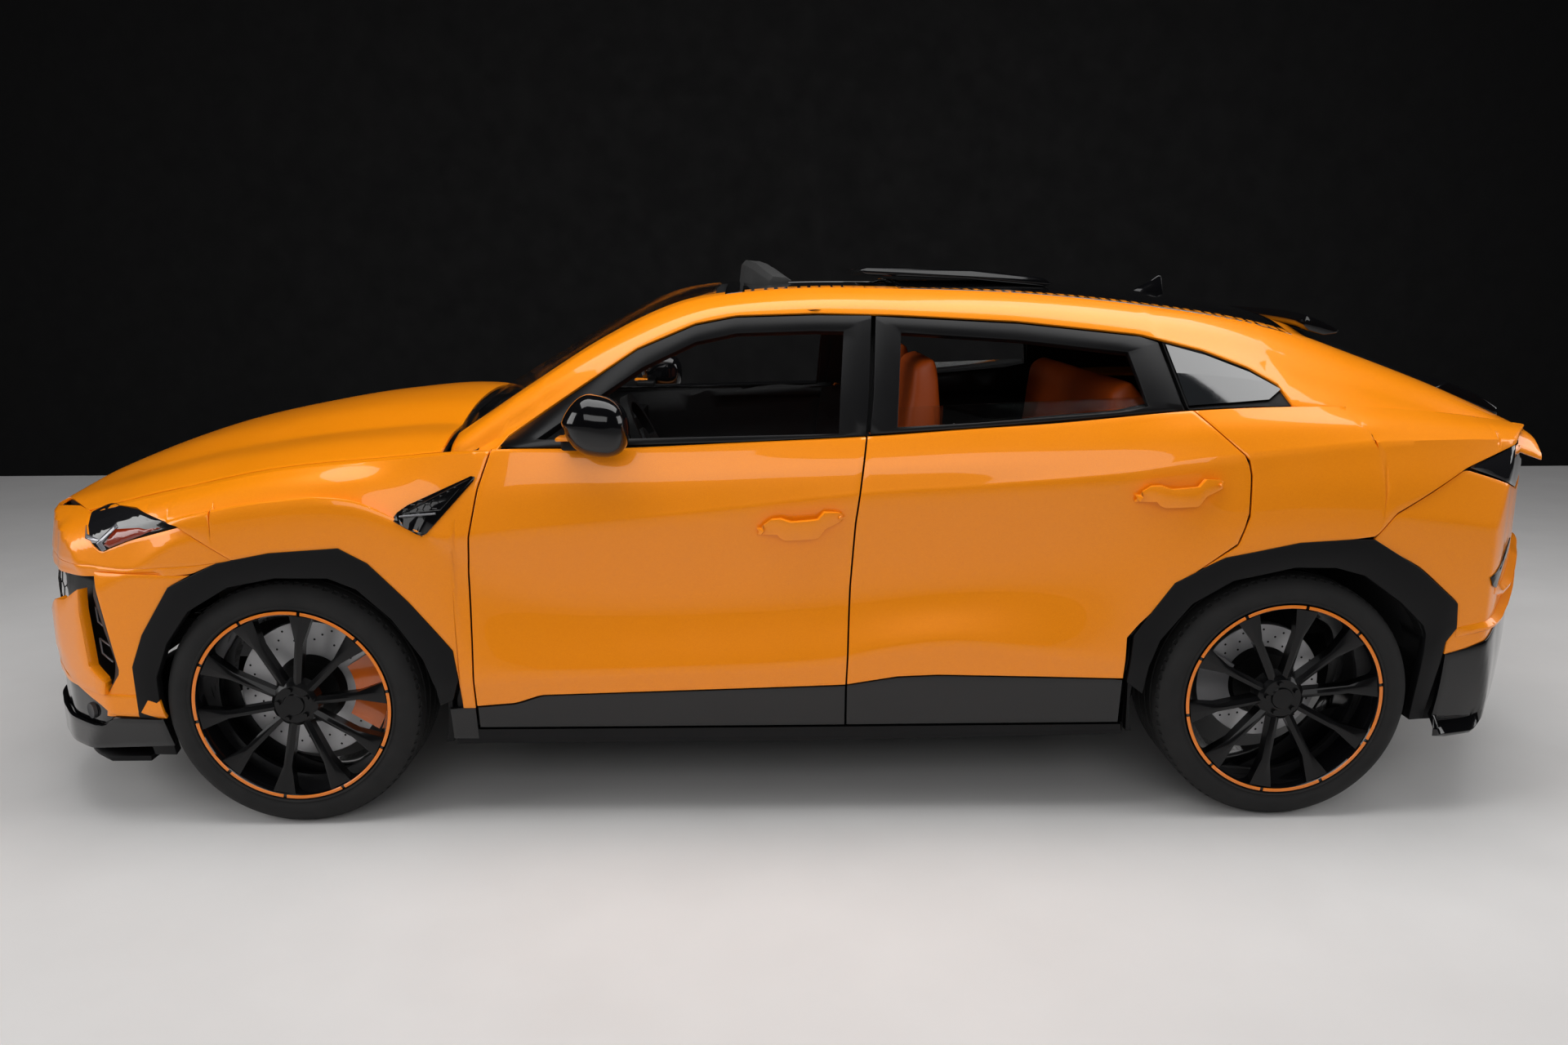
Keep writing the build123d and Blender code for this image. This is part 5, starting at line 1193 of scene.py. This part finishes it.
flash = wrap_shape(-1, [(nose(x), z) for x, z in [(-2.080, 0.880), (-2.045, 0.926), (-1.960, 0.936),
                                                  (-1.915, 0.930), (-1.885, 0.942), (-1.960, 0.912),
                                                  (-2.060, 0.874)]], 0.0035, 2)
closed_shell("amber_reflectors", flash, amber, "body", 0.002, bevel=0)

# ---- Tail ---------------------------------------------------------------------------------------------
# An orange rear bumper skin, clipped to the rear quarter: a shelf under the lamps, slot vents at
# its corners and two ridges above a gloss-black valance that rises towards the back.
QUARTER_SEAM = [(tail(1.672), 0.887), (tail(1.727), 0.956), (tail(1.946), 1.078), (tail(1.962), 1.076),
                (tail(2.10), 1.030), (tail(2.217), 0.990), (tail(2.33), 1.000), (TAIL_END, 1.01)]
ARCH_REAR_EDGE = [(1.930, 0.515), (1.931, 0.560), (1.961, 0.602), (1.954, 0.681), (1.820, 0.795),
                  (1.671, 0.887)]


def tail_sheet(left, right, low, high, columns, rows):
    """A sheet of the tail's skin between two (reach, z) side lines and two such lengthwise lines."""
    bm = bmesh.new()
    bmesh.ops.create_grid(bm, x_segments=columns, y_segments=rows, size=1)
    for v in bm.verts:
        t, r = (v.co.x + 1) / 2, (v.co.y + 1) / 2
        z, reach = 0.8, 0.0
        for _ in range(6):
            reach = read_line(left, z) * (1 - t) + read_line(right, z) * t
            bottom = read_line(low, reach, 0) if isinstance(low, list) else low
            top = read_line(high, reach, 0) if isinstance(high, list) else high
            z = bottom + (top - bottom) * r
        v.co = wrap_point(1, reach, z)
    bmesh.ops.remove_doubles(bm, verts=bm.verts, dist=0.0006)
    return bm


arch_side = [(tail(x), z) for x, z in ARCH_REAR_EDGE]
VALANCE_TOP = [(tail(1.93), 0.520), (tail(2.0), 0.537), (tail(2.155), 0.605), (tail(2.30), 0.655),
               (TAIL_END, 0.68)]
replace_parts(closed_shell("tail_skin", tail_sheet(arch_side, [(TAIL_END, 0.5)], VALANCE_TOP,
                                                         QUARTER_SEAM, 120, 40), orange_paint, "body",
                                 0.012), "rear_bumper")


def ridge(line, depth, height):
    """A raised fold that follows a (reach, z) line."""
    bm = bmesh.new()
    bmesh.ops.create_grid(bm, x_segments=80, y_segments=4, size=1)
    for v in bm.verts:
        t, r = (v.co.x + 1) / 2, (v.co.y + 1) / 2
        reach = line[0][0] + (line[-1][0] - line[0][0]) * t
        swell = (0.0, 0.9, 1.0, 0.35, 0.0)[round(r * 4)] * min(1.0, t * 6)
        v.co = wrap_point(1, reach, read_line(line, reach, 0) + height * (r - 0.5), 0.001 + depth * swell)
    return bm


closed_shell("tail_ridge_upper",
                     ridge([(tail(2.083), 0.714), (tail(2.145), 0.688), (tail(2.34), 0.735),
                            (TAIL_END, 0.76)], 0.022, 0.035), orange_paint, "body", 0.010)
closed_shell("tail_ridge_lower",
                     ridge([(tail(1.958), 0.588), (tail(2.138), 0.622), (tail(2.34), 0.672),
                            (TAIL_END, 0.70)], 0.022, 0.030), orange_paint, "body", 0.010)
VALANCE_FOOT = [(tail(1.93), 0.262), (tail(2.046), 0.270), (tail(2.20), 0.350), (tail(2.34), 0.41),
                (TAIL_END, 0.44)]
valance = wrap_band(1, VALANCE_TOP, VALANCE_FOOT, 70, 10, lift=0.004, bow=0.006)
closed_shell("valance", valance, gloss_black, "body", 0.016)
slot = wrap_shape(1, [(tail(2.204), 0.838), (tail(2.046), 0.756), (tail(2.060), 0.728),
                      (tail(2.083), 0.717), (tail(2.20), 0.806)], 0.0045, 3)
closed_shell("corner_vents", slot, gloss_black, "body", 0.003, bevel=0)
lamp = wrap_band(1, [(tail(1.966), 1.0865), (tail(2.115), 1.142), (tail(2.190), 1.172), (tail(2.36), 1.13),
                     (TAIL_END, 1.11)], [(tail(1.966), 1.0855), (tail(2.10), 1.035), (tail(2.217), 0.995),
                                         (tail(2.36), 1.01), (TAIL_END, 1.02)], 70, 8, lift=-0.002,
                 bow=0.004)
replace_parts(closed_shell("lamp_bar", lamp, smoked_lens, "body", 0.012, bevel=0.001), "tail_lamps")

# ---- Spoilers and roof fittings -------------------------------------------------------------------
# Gloss-black mouldings: a blade on the tailgate's upper edge, a lip on its deck, the glass hatch
# slid back over the roof, its netted wind deflector and a fin aerial.


def bar_across(outline, half, taper=0.0, segments=8, sweep=0.0):
    """A closed bar across the car on an (x, z) outline; its ends taper in height and sweep forward."""
    bm = bmesh.new()
    ring = bm.faces.new([bm.verts.new((x, -half, z)) for x, z in outline])
    for _ in range(segments):
        step = bmesh.ops.extrude_face_region(bm, geom=[ring])
        moved = [g for g in step["geom"] if isinstance(g, bmesh.types.BMVert)]
        bmesh.ops.translate(bm, verts=moved, vec=(0, 2 * half / segments, 0))
        old, ring = ring, [g for g in step["geom"] if isinstance(g, bmesh.types.BMFace)][0]
        if old.calc_center_median().y > -half + 0.001:
            bmesh.ops.delete(bm, geom=[old], context="FACES_ONLY")
    low, top = min(z for x, z in outline), max(z for x, z in outline)
    for v in bm.verts:
        share = abs(v.co.y / half) ** 3
        v.co.z -= taper * share
        v.co.x -= sweep * share
    bmesh.ops.recalc_face_normals(bm, faces=bm.faces)
    return bm


ROUND_EDGE = {"offset_type": "OFFSET", "affect": "EDGES", "profile": 0.5, "material": -1}


def soft_edges(bm, width):
    """Rounds every edge that turns by more than 25 degrees."""
    sharp = [e for e in bm.edges if len(e.link_faces) == 2 and e.calc_face_angle(0) > math.radians(25)]
    bmesh.ops.bevel(bm, geom=sharp, offset=width, segments=2, clamp_overlap=True, **ROUND_EDGE)
    return bm


blade = bar_across([(1.640, 1.534), (1.680, 1.518), (1.720, 1.500), (1.750, 1.484), (1.742, 1.474),
                    (1.700, 1.468), (1.650, 1.482), (1.632, 1.500)], 0.545, 0.014, 12, 0.02)
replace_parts(mesh_piece("roof_blade", soft_edges(blade, 0.005), roof_black, "tailgate"), "spoilers")
deck_lip = bar_across([(2.050, 1.300), (2.100, 1.320), (2.200, 1.280), (2.268, 1.236), (2.272, 1.212),
                       (2.240, 1.196), (2.180, 1.215), (2.100, 1.250)], 0.600, 0.012, 12, 0.03)
mesh_piece("deck_lip", soft_edges(deck_lip, 0.006), roof_black, "tailgate")
hatch = bar_across([(0.190, 1.678), (0.215, 1.684), (0.560, 1.676), (0.800, 1.650), (0.828, 1.632),
                    (0.800, 1.622), (0.540, 1.648), (0.215, 1.662)], 0.41, 0.010, 12, 0.0)
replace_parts(mesh_piece("hatch_glass", soft_edges(hatch, 0.004), roof_black, "body"),
                    "sunroof_panel")
fin = bar_across([(1.205, 1.585), (1.240, 1.606), (1.275, 1.622), (1.310, 1.646), (1.322, 1.645),
                  (1.330, 1.575)], 0.014, 0.0, 2)
for v in fin.verts:
    v.co.y *= 1.0 - 0.75 * max(0.0, (v.co.z - 1.585) / 0.06)
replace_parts(mesh_piece("roof_fin", soft_edges(fin, 0.003), roof_black, "body"), "aerial")
net_black, tree, shader = new_material("deflector_net", (0.018, 0.018, 0.018), 0.7)
weave = node(tree, "ShaderNodeTexWave", Scale=120.0)
relief = node(tree, "ShaderNodeBump", Strength=0.6, Distance=0.001)
place = node(tree, "ShaderNodeTexCoord")
tree.links.new(place.outputs["Object"], weave.inputs["Vector"])
tree.links.new(weave.outputs["Fac"], relief.inputs["Height"])
tree.links.new(relief.outputs["Normal"], shader.inputs["Normal"])
flap = bar_across([(-0.215, 1.615), (-0.205, 1.690), (-0.190, 1.706), (-0.150, 1.702), (-0.130, 1.690),
                   (-0.165, 1.672), (-0.180, 1.645), (-0.185, 1.610)], 0.400, 0.0, 10)
for v in flap.verts:
    v.co.x += 0.10 * abs(v.co.y / 0.4) ** 4
    v.co.z -= 0.055 * abs(v.co.y / 0.4) ** 6
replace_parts(mesh_piece("net_flap", soft_edges(flap, 0.003), net_black, "body"), "wind_deflector")

# ---- Fender vents and door handles ----------------------------------------------------------------
# Each vent is a triangular honeycomb insert in a gloss frame. Handles are painted pulls in shallow
# bowls, bolted through the door skin.


def flank_shape(outline, lift, cuts=3):
    """A filled (x, z) outline laid on the flank."""
    bm = bmesh.new()
    ring = []
    for (a, za), (b, zb) in zip(outline, outline[1:] + outline[:1]):
        ring += [bm.verts.new((a + (b - a) * k / cuts, 0, za + (zb - za) * k / cuts)) for k in range(cuts)]
    bm.faces.new(ring)
    bmesh.ops.triangulate(bm, faces=bm.faces[:])
    bmesh.ops.subdivide_edges(bm, edges=bm.edges[:], cuts=1, use_grid_fill=True)
    for v in bm.verts:
        x, z = v.co.x, v.co.z
        v.co.y = skin_point("body", x, step_at("body", x, z)).y - lift
    return bm


def flank_tube(points, radius, lift, rounds=8):
    """A thin bar that follows (x, z) points on the flank."""
    parts = []
    places = [Vector((x, skin_point("body", x, step_at("body", x, z)).y - lift, z)) for x, z in points]
    for a, b in zip(places, places[1:]):
        bar = bmesh.new()
        bmesh.ops.create_cone(bar, cap_ends=True, segments=rounds, radius1=radius, radius2=radius,
                              depth=(b - a).length)
        bar.transform(Matrix.Translation((a + b) / 2) @ (b - a).to_track_quat("Z", "Y").to_matrix().to_4x4())
        parts.append(bar)
    return joined(*parts)


VENT = [(-1.209, 0.966), (-1.200, 0.978), (-1.171, 0.998), (-0.985, 1.080), (-0.974, 1.078), (-0.978, 1.066),
        (-1.118, 0.914), (-1.129, 0.911), (-1.142, 0.914), (-1.200, 0.952)]
vent = flank_shape(VENT, 0.0045)
closed_shell("vent_frames", vent, gloss_black, "body", 0.006, bevel=0.001)
COMB_CELL = 0.013
rods = []
for i in range(9):
    for j in range(8):
        cx, cz = -1.175 + 0.021 * i, 0.928 + 0.0242 * (j + 0.5 * (i % 2))
        edge_top = 0.998 + (cx + 1.171) * 0.44
        edge_low = 0.914 + max(0, (cx + 1.125)) * 1.08 if cx > -1.125 else 0.95 - (cx + 1.2) * 0.45
        if edge_low + 0.016 < cz < edge_top - 0.014:
            cell = [(cx + COMB_CELL * math.cos(math.radians(60 * k)),
                     cz + COMB_CELL * math.sin(math.radians(60 * k))) for k in range(4)]
            rods.append(flank_tube(cell, 0.0011, 0.0085, 4))
rods.append(flank_tube([(-1.178, 0.977), (-1.075, 0.984), (-1.020, 1.044)], 0.0016, 0.010))
rods.append(flank_tube([(-1.190, 0.974), (-0.990, 1.072)], 0.0014, 0.0095))
mesh_piece("vent_combs", twin(joined(*rods)), gloss_black, "body")
bar = flank_tube([(-1.192, 0.967), (-1.088, 0.974)], 0.0034, 0.0105, 12)
mesh_piece("vent_bars", twin(bar), silver_trim, "body", 40)

HANDLES = {"left_front_door": (-0.146, 0.897), "left_rear_door": (0.959, 0.990)}
PULL = [(0.0, 0.010), (0.018, 0.040), (0.040, 0.056), (0.068, 0.058), (0.100, 0.047), (0.178, 0.051),
        (0.198, 0.072), (0.240, 0.068), (0.251, 0.062), (0.249, 0.042), (0.200, 0.022), (0.183, 0.000),
        (0.176, -0.006), (0.082, -0.008), (0.068, 0.000), (0.060, 0.010)]
for body, (x, z) in HANDLES.items():
    tilt = 0.03
    shape = [(x + a, z + b + a * tilt) for a, b in PULL]

    def pull(shape=shape):
        """Grip of one handle, bowed away from the door at its middle."""
        bm = flank_shape(shape, 0.034, 2)
        for v in bm.verts:
            v.co.y += 0.022 * ((v.co.x - shape[0][0] - 0.125) / 0.125) ** 2
        return bm

    for piece in handed(body.replace("left_", "") + "_pull", pull, orange_paint, body, 0.016, bevel=0.004):
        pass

# ---- Mirrors ---------------------------------------------------------------------------------------------
# Folding mirrors: a gloss-black shell with an orange edge, on a foot at the door's front corner.


def mirror_shell(sign):
    """A rounded shell: its side outline swept outwards and drawn in at both ends."""
    bm = bmesh.new()
    bmesh.ops.create_uvsphere(bm, u_segments=48, v_segments=24, radius=1)
    cx, cz = -0.604, 1.235
    for v in bm.verts:
        x, y, z = v.co
        squash = 1 - abs(y) ** 2.6 * 0.35
        power = (abs(x) ** 2.6 + abs(z) ** 2.6 + abs(y) ** 3.2) ** (-1 / 2.8)
        x, y, z = x * power, y * power, z * power
        front = 1.0 if x > 0 else 1.0 - 0.42 * max(z, 0) - 0.15 * max(-z, 0)
        v.co = Vector((cx + x * 0.096 * front * squash, -1.010 + y * 0.078, cz + z * 0.088 * squash
                       - 0.012 * x))
    if sign > 0:
        bmesh.ops.scale(bm, vec=(1, -1, 1), verts=bm.verts)
        bmesh.ops.reverse_faces(bm, faces=bm.faces)
    return bm


for side, sign in (("left", -1), ("right", 1)):
    body = f"{side}_front_door"
    shell = mesh_piece(f"{side}_mirror_shell", mirror_shell(sign), gloss_black, body, 50)
    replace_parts(shell, f"{side}_mirror")
    foot = bmesh.new()
    bmesh.ops.create_cube(foot, size=1)
    bmesh.ops.scale(foot, verts=foot.verts, vec=(0.085, 0.120, 0.034))
    bmesh.ops.translate(foot, verts=foot.verts, vec=(-0.665, sign * 0.945, 1.178))
    bmesh.ops.bevel(foot, geom=foot.edges[:], offset=0.010, segments=3, **ROUND_EDGE)
    mesh_piece(f"{side}_mirror_foot", foot, matte_black, body, 40)
    edge = bmesh.new()
    bmesh.ops.create_cube(edge, size=1)
    bmesh.ops.scale(edge, verts=edge.verts, vec=(0.060, 0.070, 0.010))
    bmesh.ops.translate(edge, verts=edge.verts, vec=(-0.690, sign * 0.985, 1.196))
    bmesh.ops.bevel(edge, geom=edge.edges[:], offset=0.004, segments=2, **ROUND_EDGE)
    mesh_piece(f"{side}_mirror_edge", edge, orange_paint, body, 40)

# ---- Finishes of the pieces that keep the shape they were built with ---------------------------
# Glass, engine, running gear, skirts and cabin parts, each in its own finish. The seats are foam
# pads in orange leather, shown as rounded copies of their solids.
clear_glass, tree, shader = new_material("clear_glass_pane", (0.75, 0.80, 0.80), 0.02)
shader.inputs["Transmission Weight"].default_value = 1.0
shader.inputs["IOR"].default_value = 1.45
shader.inputs["Alpha"].default_value = 0.35
dark_glass, tree, shader = new_material("dark_glass_pane", (0.010, 0.011, 0.012), 0.03, 0.0, 1.0)
engine_grey, tree, shader = new_material("engine_metal", (0.25, 0.25, 0.26), 0.5, 0.8)
brake_orange, tree, shader = new_material("caliper_paint", (0.85, 0.16, 0.004), 0.25, 0.0, 0.8)
black_leather, tree, shader = new_material("black_leather", (0.006, 0.006, 0.0065), 0.5)
orange_leather, tree, shader = new_material("orange_leather", (0.50, 0.075, 0.002), 0.5)
tip_metal, tree, shader = new_material("exhaust_tip_metal", (0.05, 0.05, 0.052), 0.3, 0.9)
core("exhaust", 0.0, tip_metal, "body")
for name in ("front_seats", "rear_bench"):
    seat = core(name, 0.004, orange_leather, "body", 180)
    pad = seat.modifiers.new("pad", "REMESH")
    pad.mode, pad.voxel_size, pad.use_smooth_shade = "VOXEL", 0.016, True
    swell = seat.modifiers.new("swell", "SMOOTH")
    swell.factor, swell.iterations = 0.7, 14
NODE_FINISHES = {
    matte_black: ["side_skirts"],
    dark_glass: ["quarter_glass", "tailgate_glass"],
    clear_glass: ["windscreen", "left_rear_glass", "right_rear_glass"],
    black_leather: ["dashboard", "steering_wheel"],
    engine_grey: ["engine", "front_subframe", "rear_axle"],
    brake_orange: ["left_knuckle", "right_knuckle"],
}
for finish, names in NODE_FINISHES.items():
    for name in names:
        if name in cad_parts:
            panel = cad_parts[name]
            panel.data.materials.clear()
            panel.data.materials.append(finish)
